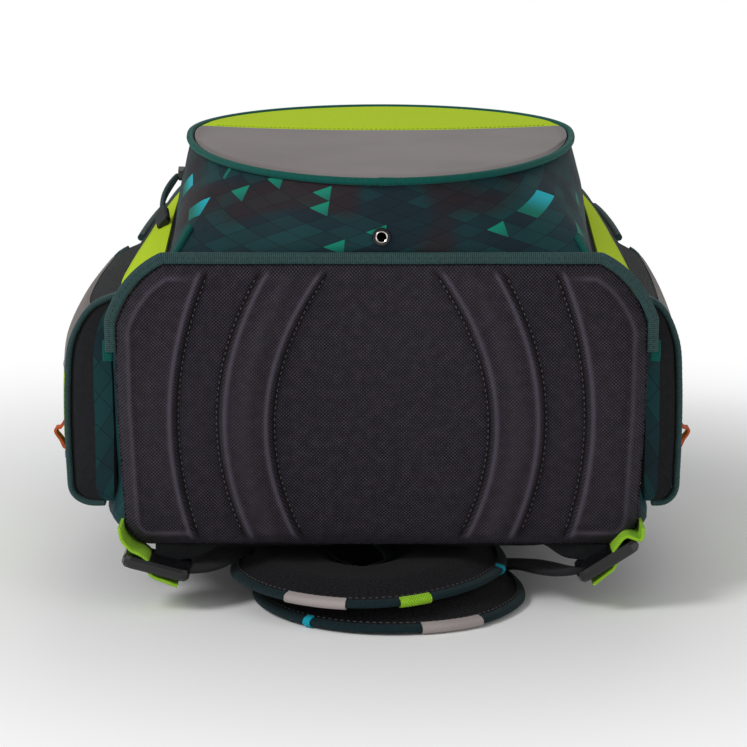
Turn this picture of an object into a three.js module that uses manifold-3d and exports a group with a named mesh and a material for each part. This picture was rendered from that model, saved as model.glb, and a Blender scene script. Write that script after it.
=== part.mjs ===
// A school ransel lying on its back, front pocket up, seen towards its base.
// x runs across the bag, y up the bag from its base, z out of its front. Millimetres.
import * as THREE from "three";
import { mergeVertices } from "three/addons/utils/BufferGeometryUtils.js";
import Module from "manifold-3d";

const wasm = await Module();
wasm.setup();

// Driving dimensions
const GAP = 0.3; // clearance between neighbouring pieces
const WALL = 2.2; // fabric with its stiffener
const TRIM = 1.2; // thickness of a panel or tape sewn on the surface

const BODY = { width: 290, height: 364, depth: 157, front: 236, chamfer: 35, backRound: 15, taper: 3.5 };
const PAD = { thick: 10, edge: 7, swell: 0.6 };
const GROOVE = { radius: 5, depth: 2.6, run: 146 };
const BINDING = { width: 6.2, thick: 2.6, reach: 108 };
const BACK_PAD = { width: 96, length: 286, thick: 8.6, channel: 24, start: 28 };
const STRAP = { width: 68, thick: 12, rootThick: 6 };
const STACK_SLACK = 2.6; // free height between the crossed straps and the back pads
const POCKET = {
  headroom: 59, depth: 44, shoulder: 50, crown: 8,
  panelWidth: 231, panelFoot: 14, tilt: 9, widest: 0.63, belly: 1.6,
};
const PIPING = { radius: 2.1, steps: 42 };
const PANEL_THICK = 2.2;
const EYELET = { flange: 4.9, barrel: 3.3, bore: 2.1, lip: 1.1, height: 14 };
const ZIP = { width: 13, height: 20, start: 216, slider: 13, sliderThick: 3.4 };
const SIDE_POCKET = { height: 182, width: 117, start: 24, low: 20, deepLeft: 23, deepRight: 17 };
const POCKET_BINDING = { width: 7.5, thick: 2 };
const LOCK = { length: 38, width: 28, thick: 6.5 };
const WEB = { width: 25, thick: 1.8 };
const LID = { wall: 3, clear: 0.7, skirt: 24, flap: 52 };
const CLASP = { width: 30, height: 34, thick: 7 };
const HANDLE = { span: 112, width: 24, thick: 5, rise: 25 };

// Heights worked out from them: the bag lies on its crossed straps
const POCKET_LENGTH = BODY.height - POCKET.headroom;
const BACK_Z = 2 * STRAP.thick + 2 * GAP + STACK_SLACK + BACK_PAD.thick + GAP;
const FRONT_Z = BACK_Z + BODY.depth;
const BODY_START = PAD.thick + GAP;
const BODY_END = BODY_START + BODY.height;
const PANEL_Z = FRONT_Z + POCKET.depth;

// Half widths of the body up its height, as shares of BODY.width; front is a share of BODY.front
const BODY_STATIONS = [
  { at: 0.0, left: 0.5, right: 0.5, front: 0.5 },
  { at: 0.1, left: 0.53, right: 0.513, front: 0.505 },
  { at: 0.28, left: 0.541, right: 0.526, front: 0.516 },
  { at: 0.5, left: 0.54, right: 0.535, front: 0.53 },
  { at: 0.72, left: 0.532, right: 0.532, front: 0.538 },
  { at: 0.9, left: 0.52, right: 0.52, front: 0.53 },
  { at: 1.0, left: 0.508, right: 0.508, front: 0.5 },
];

// Base channels: how far each stands from the bag's middle line, as shares of BODY.width
const GROOVES = [
  { top: 0.326, middle: 0.383, foot: 0.347 },
  { top: 0.231, middle: 0.31, foot: 0.262 },
  { top: 0.102, middle: 0.2, foot: 0.148 },
];

// Routes of the shoulder straps, for the left one: x is a share of BODY.width, y of BODY.height,
// lift counts strap thicknesses above the floor and width is a share of STRAP.width
const LEFT_ROUTE = [
  { x: -0.155, y: 0.925, lift: 1.9, width: 0.82 },
  { x: -0.158, y: 0.875, lift: 1.0, width: 0.94 },
  { x: -0.16, y: 0.82, lift: 0, width: 1 },
  { x: -0.155, y: 0.77, lift: 0, width: 1 },
  { x: -0.132, y: 0.7, lift: 0.6, width: 1 },
  { x: -0.08, y: 0.61, lift: 1.06, width: 1 },
  { x: -0.005, y: 0.46, lift: 1.05, width: 1 },
  { x: 0.07, y: 0.31, lift: 1.05, width: 1 },
  { x: 0.118, y: 0.18, lift: 1.07, width: 1 },
  { x: 0.122, y: 0.085, lift: 1.14, width: 1 },
  { x: 0.068, y: 0.01, lift: 1.14, width: 1 },
  { x: -0.03, y: -0.028, lift: 1.05, width: 1 },
  { x: -0.125, y: 0.003, lift: 1.05, width: 1 },
  { x: -0.178, y: 0.07, lift: 1.05, width: 0.98 },
  { x: -0.19, y: 0.14, lift: 1.05, width: 0.8 },
  { x: -0.2, y: 0.2, lift: 1.05, width: 0.52 },
];
const RIGHT_ROUTE = [
  { x: 0.155, y: 0.925, lift: 1.9, width: 0.82 },
  { x: 0.158, y: 0.875, lift: 1.0, width: 0.94 },
  { x: 0.16, y: 0.82, lift: 0, width: 1 },
  { x: 0.152, y: 0.765, lift: 0, width: 1 },
  { x: 0.12, y: 0.66, lift: 0, width: 1 },
  { x: 0.065, y: 0.54, lift: 0, width: 1 },
  { x: -0.01, y: 0.4, lift: 0, width: 1 },
  { x: -0.085, y: 0.25, lift: 0, width: 1 },
  { x: -0.13, y: 0.12, lift: 0, width: 1 },
  { x: -0.12, y: 0.035, lift: 0, width: 1 },
  { x: -0.055, y: -0.022, lift: 0, width: 1 },
  { x: 0.03, y: -0.036, lift: 0, width: 1 },
  { x: 0.115, y: -0.012, lift: 0, width: 1 },
  { x: 0.163, y: 0.05, lift: 0, width: 0.98 },
  { x: 0.18, y: 0.125, lift: 0, width: 0.8 },
  { x: 0.19, y: 0.19, lift: 0, width: 0.52 },
];

// Outline of a side pocket: out is a share of its depth, z of its width
const POCKET_PROFILE = [
  { out: 0.0, z: 0.0 },
  { out: 0.62, z: 0.005 },
  { out: 0.93, z: 0.05 },
  { out: 1.0, z: 0.16 },
  { out: 1.0, z: 0.58 },
  { out: 0.86, z: 0.78 },
  { out: 0.52, z: 0.93 },
  { out: 0.0, z: 1.0 },
];

// Lime corner panel: reach is how far it goes round the corner at a share of the body's height
const CORNER_PANEL = [
  { at: 0.0, reach: 0.74 },
  { at: 0.17, reach: 0.5 },
  { at: 0.38, reach: 0.32 },
  { at: 0.6, reach: 0.2 },
  { at: 0.78, reach: 0.06 },
];

// Ladder locks at the base corners, each one's inset from the body's side, height and tilt in degrees
const LOCKS = [
  { name: "left", side: -1, inset: 21, z: 26.5, tilt: 15 },
  { name: "right", side: 1, inset: 20.5, z: 30.5, tilt: 33 },
];
const LOCK_Y = 3;

const SIDES = [
  { name: "left", side: -1, pocketDepth: SIDE_POCKET.deepLeft },
  { name: "right", side: 1, pocketDepth: SIDE_POCKET.deepRight },
];

// Half outline of the zip slider: along is a share of its length, wide its full width there
const SLIDER_OUTLINE = [
  { along: 0.5, wide: 6.4 },
  { along: -0.15, wide: 8.8 },
  { along: -0.5, wide: 4.8 },
];

// The zip's cord pull: at is a share of its length, wide a share of its width
const PULL = { length: 66, width: 7.6, thick: 3.4 };
const PULL_STATIONS = [
  { at: 0, wide: 0.55 },
  { at: 0.16, wide: 0.8 },
  { at: 0.34, wide: 0.8 },
  { at: 0.52, wide: 0.62 },
  { at: 0.7, wide: 0.62 },
  { at: 0.82, wide: 1.25 },
  { at: 0.94, wide: 1.3 },
  { at: 1, wide: 1 },
];

const v3 = (x, y, z) => new THREE.Vector3(x, y, z);
const mix = (a, b, t) => a + (b - a) * t;

// Geometry helpers

// A closed body through rings with equal counts, capped at both ends or joined end to start.
function loft(rings, joined = false) {
  const count = rings[0].length;
  const points = rings.flat();
  const faces = [];
  const steps = joined ? rings.length : rings.length - 1;
  for (let r = 0; r < steps; r++)
    for (let i = 0; i < count; i++) {
      const a = r * count + i;
      const b = r * count + ((i + 1) % count);
      const c = ((r + 1) % rings.length) * count + ((i + 1) % count);
      const d = ((r + 1) % rings.length) * count + i;
      faces.push([a, b, c], [a, c, d]);
    }
  if (!joined)
    for (const r of [0, rings.length - 1]) {
      const middle = points.length;
      const sum = rings[r].reduce((s, p) => s.add(p), v3(0, 0, 0));
      points.push(sum.divideScalar(count));
      for (let i = 0; i < count; i++) {
        const a = r * count + i;
        const b = r * count + ((i + 1) % count);
        faces.push(r === 0 ? [b, a, middle] : [a, b, middle]);
      }
    }
  return meshOf(points, faces);
}

// A geometry of points and faces, turned so that its faces point out.
function meshOf(points, faces) {
  let volume = 0;
  for (const [a, b, c] of faces)
    volume += points[a].dot(v3().crossVectors(points[b], points[c]));
  const index = faces.flatMap(([a, b, c]) => (volume < 0 ? [a, c, b] : [a, b, c]));
  const geometry = new THREE.BufferGeometry().setFromPoints(points);
  geometry.setIndex(index);
  return geometry;
}

// A section of [side, up] pairs carried along a path; scale(t) narrows its side direction.
function sweep(path, upAt, section, { joined = false, scale = () => 1, thin = () => 1 } = {}) {
  const last = path.length - 1;
  const rings = path.map((p, i) => {
    const before = path[joined ? (i + last) % path.length : Math.max(i - 1, 0)];
    const after = path[joined ? (i + 1) % path.length : Math.min(i + 1, last)];
    const along = v3().subVectors(after, before).normalize();
    const side = v3().crossVectors(along, upAt(i)).normalize();
    const up = v3().crossVectors(side, along);
    return section.map(([s, u]) =>
      p.clone().addScaledVector(side, s * scale(i / last)).addScaledVector(up, u * thin(i / last)),
    );
  });
  return loft(rings, joined);
}

// A thick sheet over surface(u, v), from inner to outer along the normal that faces away from core.
function sheet(surface, nu, nv, inner, outer, core) {
  const step = 1e-3;
  const at = (u, v, off) => {
    const p = surface(u, v);
    const du = v3().subVectors(surface(Math.min(u + step, 1), v), surface(Math.max(u - step, 0), v));
    const dv = v3().subVectors(surface(u, Math.min(v + step, 1)), surface(u, Math.max(v - step, 0)));
    const n = v3().crossVectors(du, dv).normalize();
    if (n.dot(v3().subVectors(p, core)) < 0) n.negate();
    return p.addScaledVector(n, off);
  };
  const points = [];
  const id = (layer, i, j) => (layer * (nu + 1) + i) * (nv + 1) + j;
  for (const off of [inner, outer])
    for (let i = 0; i <= nu; i++)
      for (let j = 0; j <= nv; j++) points.push(at(i / nu, j / nv, off));
  const faces = [];
  const quad = (a, b, c, d) => faces.push([a, b, c], [a, c, d]);
  for (let i = 0; i < nu; i++)
    for (let j = 0; j < nv; j++) {
      quad(id(1, i, j), id(1, i + 1, j), id(1, i + 1, j + 1), id(1, i, j + 1));
      quad(id(0, i, j), id(0, i, j + 1), id(0, i + 1, j + 1), id(0, i + 1, j));
    }
  for (let i = 0; i < nu; i++) {
    quad(id(0, i, 0), id(0, i + 1, 0), id(1, i + 1, 0), id(1, i, 0));
    quad(id(1, i, nv), id(1, i + 1, nv), id(0, i + 1, nv), id(0, i, nv));
  }
  for (let j = 0; j < nv; j++) {
    quad(id(1, 0, j), id(1, 0, j + 1), id(0, 0, j + 1), id(0, 0, j));
    quad(id(0, nu, j), id(0, nu, j + 1), id(1, nu, j + 1), id(1, nu, j));
  }
  return meshOf(points, faces);
}

function roundedRect(width, height, radius, steps = 2) {
  const r = Math.min(radius, width / 2 - 0.01, height / 2 - 0.01);
  const points = [];
  const corners = [
    [width / 2 - r, height / 2 - r, 0],
    [-width / 2 + r, height / 2 - r, 90],
    [-width / 2 + r, -height / 2 + r, 180],
    [width / 2 - r, -height / 2 + r, 270],
  ];
  for (const [x, y, start] of corners)
    for (let k = 0; k <= steps; k++) {
      const a = THREE.MathUtils.degToRad(start + (90 * k) / steps);
      points.push([x + r * Math.cos(a), y + r * Math.sin(a)]);
    }
  return points;
}

// A table's column at t, straight between rows.
function column(rows, name, t) {
  let k = 1;
  while (k < rows.length - 1 && rows[k].at < t) k++;
  const a = rows[k - 1];
  const b = rows[k];
  return mix(a[name], b[name], THREE.MathUtils.clamp((t - a.at) / (b.at - a.at), 0, 1));
}

// Solid helpers

function solid(geometry) {
  const bare = geometry.clone();
  bare.deleteAttribute("normal");
  bare.deleteAttribute("uv");
  const merged = mergeVertices(bare, 1e-4);
  return new wasm.Manifold(
    new wasm.Mesh({
      numProp: 3,
      vertProperties: new Float32Array(merged.attributes.position.array),
      triVerts: new Uint32Array(merged.index.array),
    }),
  );
}

function geometryOf(made) {
  const mesh = made.getMesh();
  const geometry = new THREE.BufferGeometry();
  geometry.setAttribute("position", new THREE.BufferAttribute(mesh.vertProperties, 3));
  geometry.setIndex(new THREE.BufferAttribute(mesh.triVerts, 1));
  return geometry;
}

const cut = (piece, ...tools) =>
  geometryOf(tools.reduce((left, tool) => left.subtract(solid(tool)), solid(piece)));

// Body

const bodyShare = (y) => (y - BODY_START) / BODY.height;

// Corner points of the body's section at height y, moved out by off.
function bodySize(y, off = 0) {
  const t = bodyShare(y);
  return {
    left: column(BODY_STATIONS, "left", t) * BODY.width + off,
    right: column(BODY_STATIONS, "right", t) * BODY.width + off,
    front: column(BODY_STATIONS, "front", t) * BODY.front + off * 0.35,
    low: BACK_Z - off,
    high: FRONT_Z + off,
  };
}

// The front corner of the body, from the front face (t = 0) to the side (t = 1).
function cornerPoint(y, side, t, off = 0) {
  const size = bodySize(y, off);
  const half = side < 0 ? size.left : size.right;
  const bend = 0.42; // 0 is a straight chamfer, 1 a square corner
  const mx = mix((size.front + half) / 2, half, bend);
  const mz = mix(size.high - BODY.chamfer / 2, size.high, bend);
  const x = (1 - t) ** 2 * size.front + 2 * t * (1 - t) * mx + t * t * half;
  const z = (1 - t) ** 2 * size.high + 2 * t * (1 - t) * mz + t * t * (size.high - BODY.chamfer);
  return v3(side * x, y, z);
}

const CORNER_STEPS = 5;

// The body's section ring: back, right side, right front corner, front, left corner, left side.
function bodyRing(y, off = 0) {
  const size = bodySize(y, off);
  const r = BODY.backRound + off;
  const ring = [v3(0, y, size.low)];
  const backCorner = (side, half, k) => {
    const a = THREE.MathUtils.degToRad(30 * k);
    return v3(side * (half - BODY.taper - r + r * Math.sin(a)), y, size.low + r - r * Math.cos(a));
  };
  for (let k = 0; k <= 3; k++) ring.push(backCorner(1, size.right, k));
  ring.push(v3(size.right, y, (size.low + size.high) / 2));
  for (let k = CORNER_STEPS; k >= 0; k--) ring.push(cornerPoint(y, 1, k / CORNER_STEPS, off));
  ring.push(v3(0, y, size.high));
  for (let k = 0; k <= CORNER_STEPS; k++) ring.push(cornerPoint(y, -1, k / CORNER_STEPS, off));
  ring.push(v3(-size.left, y, (size.low + size.high) / 2));
  for (let k = 3; k >= 0; k--) ring.push(backCorner(-1, size.left, k));
  return ring;
}

const stationY = (row) => BODY_START + row.at * BODY.height;

// The body as a filled form, moved out by off, for cutting what lies on it.
function bodyForm(off) {
  return loft(BODY_STATIONS.map((row) => {
    const end = row.at === 0 ? -off : row.at === 1 ? off : 0;
    return bodyRing(stationY(row), off).map((p) => p.setY(stationY(row) + end));
  }));
}

function bodyShell() {
  const outer = BODY_STATIONS.map((row) => bodyRing(stationY(row)));
  const inner = BODY_STATIONS.map((row) => {
    const y = stationY(row);
    const floor = row.at === 0 ? WALL : 0;
    return bodyRing(y, -WALL).map((p) => p.setY(y + floor));
  });
  return loft([...outer, ...inner.reverse()]);
}

// The base's outline is the body's first section, moved out by off, at any y.
function baseRing(y, off) {
  return bodyRing(BODY_START, off).map((p) => p.setY(y));
}

function basePad() {
  const rows = [
    { y: PAD.thick, off: 0 },
    { y: PAD.edge * 0.75, off: PAD.swell },
    { y: PAD.edge * 0.35, off: -PAD.edge * 0.16 },
    { y: PAD.edge * 0.08, off: -PAD.edge * 0.62 },
    { y: 0, off: -PAD.edge * 1.25 },
  ];
  const pad = loft(rows.map((row) => baseRing(row.y, row.off)));
  const middleZ = BACK_Z + BODY.depth / 2;
  const section = roundedRect(2 * GROOVE.radius, 2 * GROOVE.depth, GROOVE.depth, 1);
  const tools = GROOVES.flatMap((row) =>
    [-1, 1].map((side) => {
      const path = [];
      for (let k = -4; k <= 4; k++) {
        const t = k / 4;
        const lean = (row.top - row.foot) / 2;
        const bow = (row.top + row.foot) / 2 - row.middle;
        const x = (row.middle + lean * t + bow * t * t) * BODY.width;
        path.push(v3(side * x, 0, middleZ + (t * GROOVE.run) / 2));
      }
      return sweep(path, () => v3(0, 1, 0), section);
    }),
  );
  return cut(pad, ...tools);
}

function baseBinding() {
  const ring = baseRing(PAD.thick - BINDING.thick / 2, GAP + BINDING.width / 2 + PAD.swell);
  const path = ring.filter((p) => p.z > BACK_Z + BINDING.reach);
  const low = (p) => p.clone().setZ(BACK_Z + BINDING.reach);
  const points = [low(path[0]), ...path, low(path[path.length - 1])];
  const band = sweep(points, () => v3(0, 1, 0), roundedRect(BINDING.width, BINDING.thick, 1, 1));
  return cut(band, baseKeepOut());
}

// Front pocket

const panelMidY = POCKET.panelFoot + (POCKET_LENGTH - POCKET.panelFoot) * POCKET.widest;
const panelHeight = (y) =>
  PANEL_Z + (POCKET.tilt * (y - POCKET.panelFoot)) / (POCKET_LENGTH - POCKET.panelFoot);

// The egg-shaped outline of the front panel, moved in by inset.
function panelPoint(angle, inset = 0, drop = 0) {
  const down = Math.sin(angle) < 0;
  const length = (down ? panelMidY - POCKET.panelFoot : POCKET_LENGTH - panelMidY) - inset;
  const x = (POCKET.panelWidth / 2 - inset) * Math.cos(angle);
  const y = panelMidY + length * Math.sin(angle);
  return v3(x, y, panelHeight(y) - drop);
}

const EDGE_STEPS = 10;
const SIDE_STEPS = 8;
const TOP_STEPS = 8;
const PANEL_CORNER = THREE.MathUtils.degToRad(-42); // where the panel's edge faces the base's corner
const PANEL_SHOULDER = THREE.MathUtils.degToRad(38);
const POCKET_FOOT = BODY_START + GAP;

// The pocket wall's ring at height share v, from the body's front (0) to the panel (1).
function pocketRing(v, off = 0) {
  const halfAt = (y) => bodySize(y).front - 1.5 + off;
  const shoulderY = POCKET_LENGTH - POCKET.shoulder;
  const topY = POCKET_LENGTH + POCKET.crown + off;
  const ring = [];
  const add = (x, y, angle) => {
    const top = panelPoint(angle, PIPING.radius * 0.35 - off, PANEL_THICK / 2 + GAP);
    const foot = v3(x, y, FRONT_Z + GAP);
    const p = foot.clone().lerp(top, v);
    const belly = Math.sin(Math.PI * v) * POCKET.belly;
    const outwards = v3(p.x, p.y - panelMidY, 0).normalize();
    ring.push(p.addScaledVector(outwards, belly));
  };
  const footY = POCKET_FOOT - off;
  for (let k = 0; k < EDGE_STEPS; k++) {
    const t = k / EDGE_STEPS;
    add(mix(-halfAt(footY), halfAt(footY), t), footY, mix(-Math.PI - PANEL_CORNER, PANEL_CORNER, t));
  }
  for (let k = 0; k < SIDE_STEPS; k++) {
    const t = k / SIDE_STEPS;
    const y = mix(footY, shoulderY, t);
    add(halfAt(y), y, mix(PANEL_CORNER, PANEL_SHOULDER, t));
  }
  const topHalf = halfAt(shoulderY);
  for (let k = 0; k <= TOP_STEPS; k++) {
    const a = (Math.PI * k) / TOP_STEPS;
    const x = topHalf * Math.sign(Math.cos(a)) * Math.abs(Math.cos(a)) ** 0.6;
    const y = shoulderY + (topY - shoulderY) * Math.sin(a) ** 0.6;
    add(x, y, mix(PANEL_SHOULDER, Math.PI - PANEL_SHOULDER, k / TOP_STEPS));
  }
  for (let k = 1; k < SIDE_STEPS; k++) {
    const t = k / SIDE_STEPS;
    const y = mix(shoulderY, footY, t);
    add(-halfAt(y), y, mix(Math.PI - PANEL_SHOULDER, Math.PI - PANEL_CORNER, t));
  }
  return ring;
}

const POCKET_LEVELS = [0, 0.5, 1];

const panelCurve = (radius) => {
  const path = [];
  for (let k = 0; k < PIPING.steps; k++) path.push(panelPoint((2 * Math.PI * k) / PIPING.steps));
  return sweep(path, () => v3(0, 0, 1), roundedRect(2 * radius, 2 * radius, radius, 1), { joined: true });
};

// Where the eyelet sits on the pocket's front wall, and the way that wall faces.
function eyeletSeat() {
  const low = v3(0, POCKET_FOOT, FRONT_Z + GAP);
  const high = panelPoint(-Math.PI / 2, PIPING.radius * 0.35, PANEL_THICK / 2 + GAP);
  const v = EYELET.height / (high.z - low.z);
  const seat = low.clone().lerp(high, v);
  seat.y -= Math.sin(Math.PI * v) * POCKET.belly;
  const rise = v3().subVectors(high, low);
  const facing = v3(0, -rise.z, rise.y).normalize();
  return { seat, facing };
}

// Points a lathed piece's axis along a direction at a place.
function aim(geometry, place, direction) {
  const turn = new THREE.Quaternion().setFromUnitVectors(v3(0, 1, 0), direction);
  return geometry.applyQuaternion(turn).translate(place.x, place.y, place.z);
}

function frontPocketGusset() {
  const outer = POCKET_LEVELS.map((v) => pocketRing(v));
  const inner = POCKET_LEVELS.map((v) => pocketRing(v, -WALL));
  const wall = loft([...outer, ...inner.reverse()], true);
  const { seat, facing } = eyeletSeat();
  const bore = EYELET.barrel + GAP;
  const hole = aim(new THREE.CylinderGeometry(bore, bore, 16, 16), seat, facing);
  return cut(wall, panelCurve(PIPING.radius + GAP), hole);
}

function pocketForm(off) {
  const rings = POCKET_LEVELS.map((v) => pocketRing(v, off));
  rings[0].forEach((p) => p.setZ(p.z - off));
  return loft(rings);
}

function drainEyelet() {
  const { seat, facing } = eyeletSeat();
  const lift = GAP + 0.3;
  const profile = [
    [EYELET.bore, -WALL - lift],
    [EYELET.barrel, -WALL - lift],
    [EYELET.barrel, lift],
    [EYELET.flange, lift],
    [EYELET.flange, lift + EYELET.lip * 0.6],
    [EYELET.flange * 0.85, lift + EYELET.lip],
    [EYELET.barrel * 0.9, lift + EYELET.lip],
    [EYELET.bore, lift * 0.6],
    [EYELET.bore, -WALL - lift],
  ].map(([r, h]) => new THREE.Vector2(r, h));
  return aim(new THREE.LatheGeometry(profile, 16), seat, facing);
}

// The seam between the grey and the lime part of the panel.
const SEAM = { y: 198, rise: 22 };
const seamY = (x) => SEAM.y + SEAM.rise * Math.pow(Math.abs(x) / (POCKET.panelWidth / 2), 2);

function panelPlate(lower) {
  const inset = PIPING.radius + 2.5 * GAP;
  const inside = POCKET.panelWidth / 2 - inset;
  const seamAngle = (side) => {
    let a = side > 0 ? 0 : Math.PI;
    for (let k = 0; k < 30; k++) {
      const p = panelPoint(a, inset);
      const miss = seamY(p.x) - p.y;
      a += (side * miss) / inside / 2;
    }
    return a;
  };
  const right = seamAngle(1);
  const left = seamAngle(-1);
  const outline = [];
  const steps = 22;
  const start = lower ? left : right;
  const end = lower ? right + 2 * Math.PI : left;
  for (let k = 0; k <= steps; k++) outline.push(panelPoint(mix(start, end, k / steps), inset));
  const first = outline[0];
  const last = outline[steps];
  const shift = lower ? -GAP / 2 : GAP / 2;
  for (let k = 1; k < 8; k++) {
    const x = mix(last.x, first.x, k / 8);
    outline.push(v3(x, seamY(x), 0));
  }
  const shape = new THREE.Shape(outline.map((p) => new THREE.Vector2(p.x, p.y + shift)));
  const plate = new THREE.ExtrudeGeometry(shape, { depth: PANEL_THICK, bevelEnabled: false });
  const at = plate.attributes.position;
  for (let i = 0; i < at.count; i++)
    at.setZ(i, at.getZ(i) - PANEL_THICK / 2 + panelHeight(at.getY(i)));
  return plate;
}

// The stretch of the pocket's wall that the zip runs along: up one side, round the top and down.
const onZip = (p, i) => i >= EDGE_STEPS && p.y > ZIP.start - 12;

function frontZipTape() {
  const levels = [ZIP.height - ZIP.width / 2, ZIP.height, ZIP.height + ZIP.width / 2];
  const keep = pocketRing(0.5).map(onZip);
  const band = (off) => levels.map((h) => pocketRing(h / POCKET.depth, off).filter((p, i) => keep[i]));
  const outer = band(GAP + TRIM);
  const inner = band(-GAP);
  const rings = outer[0].map((p, i) => [
    inner[0][i], inner[1][i], inner[2][i], outer[2][i], outer[1][i], outer[0][i],
  ]);
  return cut(loft(rings), pocketForm(GAP));
}

function zipSliderSeat() {
  const end = pocketRing(ZIP.height / POCKET.depth).filter(onZip).pop();
  return v3(end.x - GAP - TRIM - 2.6, end.y, end.z);
}

function zipSlider() {
  const seat = zipSliderSeat();
  const edge = SLIDER_OUTLINE.map((row) => new THREE.Vector2(row.along * ZIP.slider, row.wide / 2));
  const mirrored = edge.map((p) => new THREE.Vector2(p.x, -p.y)).reverse();
  const shape = new THREE.Shape([...mirrored, ...edge]);
  const body = new THREE.ExtrudeGeometry(shape, { depth: ZIP.sliderThick, bevelEnabled: false });
  body.rotateY(-Math.PI / 2).rotateX(-Math.PI / 2);
  body.translate(seat.x + ZIP.sliderThick / 2, seat.y, seat.z);
  return cut(body, pocketForm(GAP + TRIM + GAP + GAP));
}

// A cord loop with a ribbed end, hanging from the slider towards the base.
function zipPull() {
  const seat = zipSliderSeat();
  const lie = cornerPoint(seat.y - PULL.length, -1, 0.1, 3);
  const start = v3(seat.x - 3.6, seat.y - 2, seat.z - 1);
  const path = PULL_STATIONS.map(({ at }) => {
    const p = start.clone().lerp(lie, at);
    p.x -= 4 * Math.sin(Math.PI * at);
    return p;
  });
  const last = path.length - 1;
  const pull = sweep(path, () => v3(-0.75, 0, 0.66), roundedRect(PULL.width, PULL.thick, 1.6, 1), {
    scale: (t) => PULL_STATIONS[Math.round(t * last)].wide,
  });
  return cut(pull, pocketForm(2 * GAP + TRIM), bodyForm(2 * GAP + TRIM));
}

// Sewn panels on the body's front corners

function cornerPanel(place) {
  const { side } = place;
  const lastAt = CORNER_PANEL[CORNER_PANEL.length - 1].at;
  const surface = (u, v) => {
    const y = mix(BODY_START + GAP, BODY_START + lastAt * BODY.height, u);
    const reach = column(CORNER_PANEL, "reach", bodyShare(y));
    const p = cornerPoint(y, side, Math.max(v * reach, 0));
    p.x -= side * (1 - v) * 1.2;
    return p;
  };
  const core = v3(0, (BODY_START + BODY_END) / 2, BACK_Z + BODY.depth / 3);
  const panel = sheet(surface, 10, 4, -3, GAP + TRIM, core);
  return cut(panel, bodyForm(GAP), pocketForm(GAP), sidePocketForm(place, GAP, -GAP, GAP));
}

// Side pockets

const POCKET_LOW = BACK_Z + SIDE_POCKET.low;

// The outline of a side pocket's section at y, moved in by inset.
function pocketOutline({ side, name, pocketDepth }, y, inset = 0, grow = 1) {
  const base = bodySize(y)[name];
  const width = SIDE_POCKET.width - 2 * inset;
  return POCKET_PROFILE.map((row) =>
    v3(side * (base + row.out * grow * pocketDepth - inset * (row.out > 0 ? 1 : 0)), y,
      POCKET_LOW + inset + row.z * width),
  );
}

// How the pocket swells between its bottom and its mouth
const POCKET_SWELL = [
  { at: 0, grow: 0.93 },
  { at: 0.03, grow: 1 },
  { at: 0.3, grow: 1.0 },
  { at: 0.6, grow: 0.97 },
  { at: 1, grow: 0.85 },
];

function sidePocketForm(place, off, from, to) {
  const rings = POCKET_SWELL.map((row) => {
    const y = SIDE_POCKET.start + row.at * SIDE_POCKET.height;
    const ring = pocketOutline(place, y, -off, row.grow);
    const sunk = ring.map((p) => p.clone());
    const inside = place.side * (bodySize(y)[place.name] - 12);
    const back = [v3(inside, y, sunk[sunk.length - 1].z), v3(inside, y, sunk[0].z)];
    return [...ring, ...back];
  });
  rings[0].forEach((p) => p.setY(p.y + from));
  rings[rings.length - 1].forEach((p) => p.setY(p.y + to));
  return loft(rings);
}

function sidePocket(place) {
  const outer = sidePocketForm(place, 0, 0, 0);
  const hollow = sidePocketForm(place, -WALL, WALL, 4);
  return cut(outer, hollow, bodyForm(GAP));
}

// A point on the outside of a side pocket, w is a share of its width.
function pocketSurface(place, y, w) {
  const t = (y - SIDE_POCKET.start) / SIDE_POCKET.height;
  const ring = pocketOutline(place, y, 0, column(POCKET_SWELL, "grow", t));
  const z = POCKET_LOW + w * SIDE_POCKET.width;
  let k = 2;
  while (k < ring.length - 1 && ring[k].z < z) k++;
  const a = ring[k - 1];
  const b = ring[k];
  return v3(mix(a.x, b.x, (z - a.z) / (b.z - a.z)), y, z);
}

function pocketPatch(place, lowW, highW) {
  const first = SIDE_POCKET.start + POCKET_BINDING.width + 1;
  const last = SIDE_POCKET.start + SIDE_POCKET.height - 4;
  const surface = (u, v) => pocketSurface(place, mix(first, last, u), mix(lowW, highW, v));
  const core = v3(0, (first + last) / 2, POCKET_LOW + SIDE_POCKET.width / 2);
  const patch = sheet(surface, 5, 3, -2, GAP + TRIM, core);
  return cut(patch, sidePocketForm(place, GAP, -GAP, GAP));
}

function pocketBinding(place) {
  const y = SIDE_POCKET.start + POCKET_BINDING.width / 2;
  const ring = pocketOutline(place, y, -POCKET_BINDING.thick / 2 - GAP);
  const spline = new THREE.CatmullRomCurve3(ring.slice(1), false, "centripetal");
  const path = spline.getPoints(12);
  const section = roundedRect(POCKET_BINDING.thick, POCKET_BINDING.width, 0.8, 1);
  const band = sweep(path, () => v3(0, 1, 0), section);
  return cut(band, sidePocketForm(place, GAP, -GAP, GAP), bodyForm(GAP));
}

// A folded tab sewn to the pocket's face.
function sideLabel(place) {
  const y = SIDE_POCKET.start + 13;
  const face = pocketSurface(place, y, 0.31);
  const outline = [[-2, -8], [GAP + TRIM, -8], [6.4, 1], [5.2, 3.5], [-2, 9]];
  const shape = new THREE.Shape(outline.map(([x, z]) => new THREE.Vector2(place.side * x, z)));
  const tab = new THREE.ExtrudeGeometry(shape, { depth: 9, bevelEnabled: false });
  tab.rotateX(Math.PI / 2).translate(face.x, y + 4.5, face.z);
  const hidden = pocketPatch(place, 0.15, 0.59);
  return cut(tab, sidePocketForm(place, GAP + TRIM + GAP, -1, 1), hidden, pocketBinding(place));
}

// Back pads and straps

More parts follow.
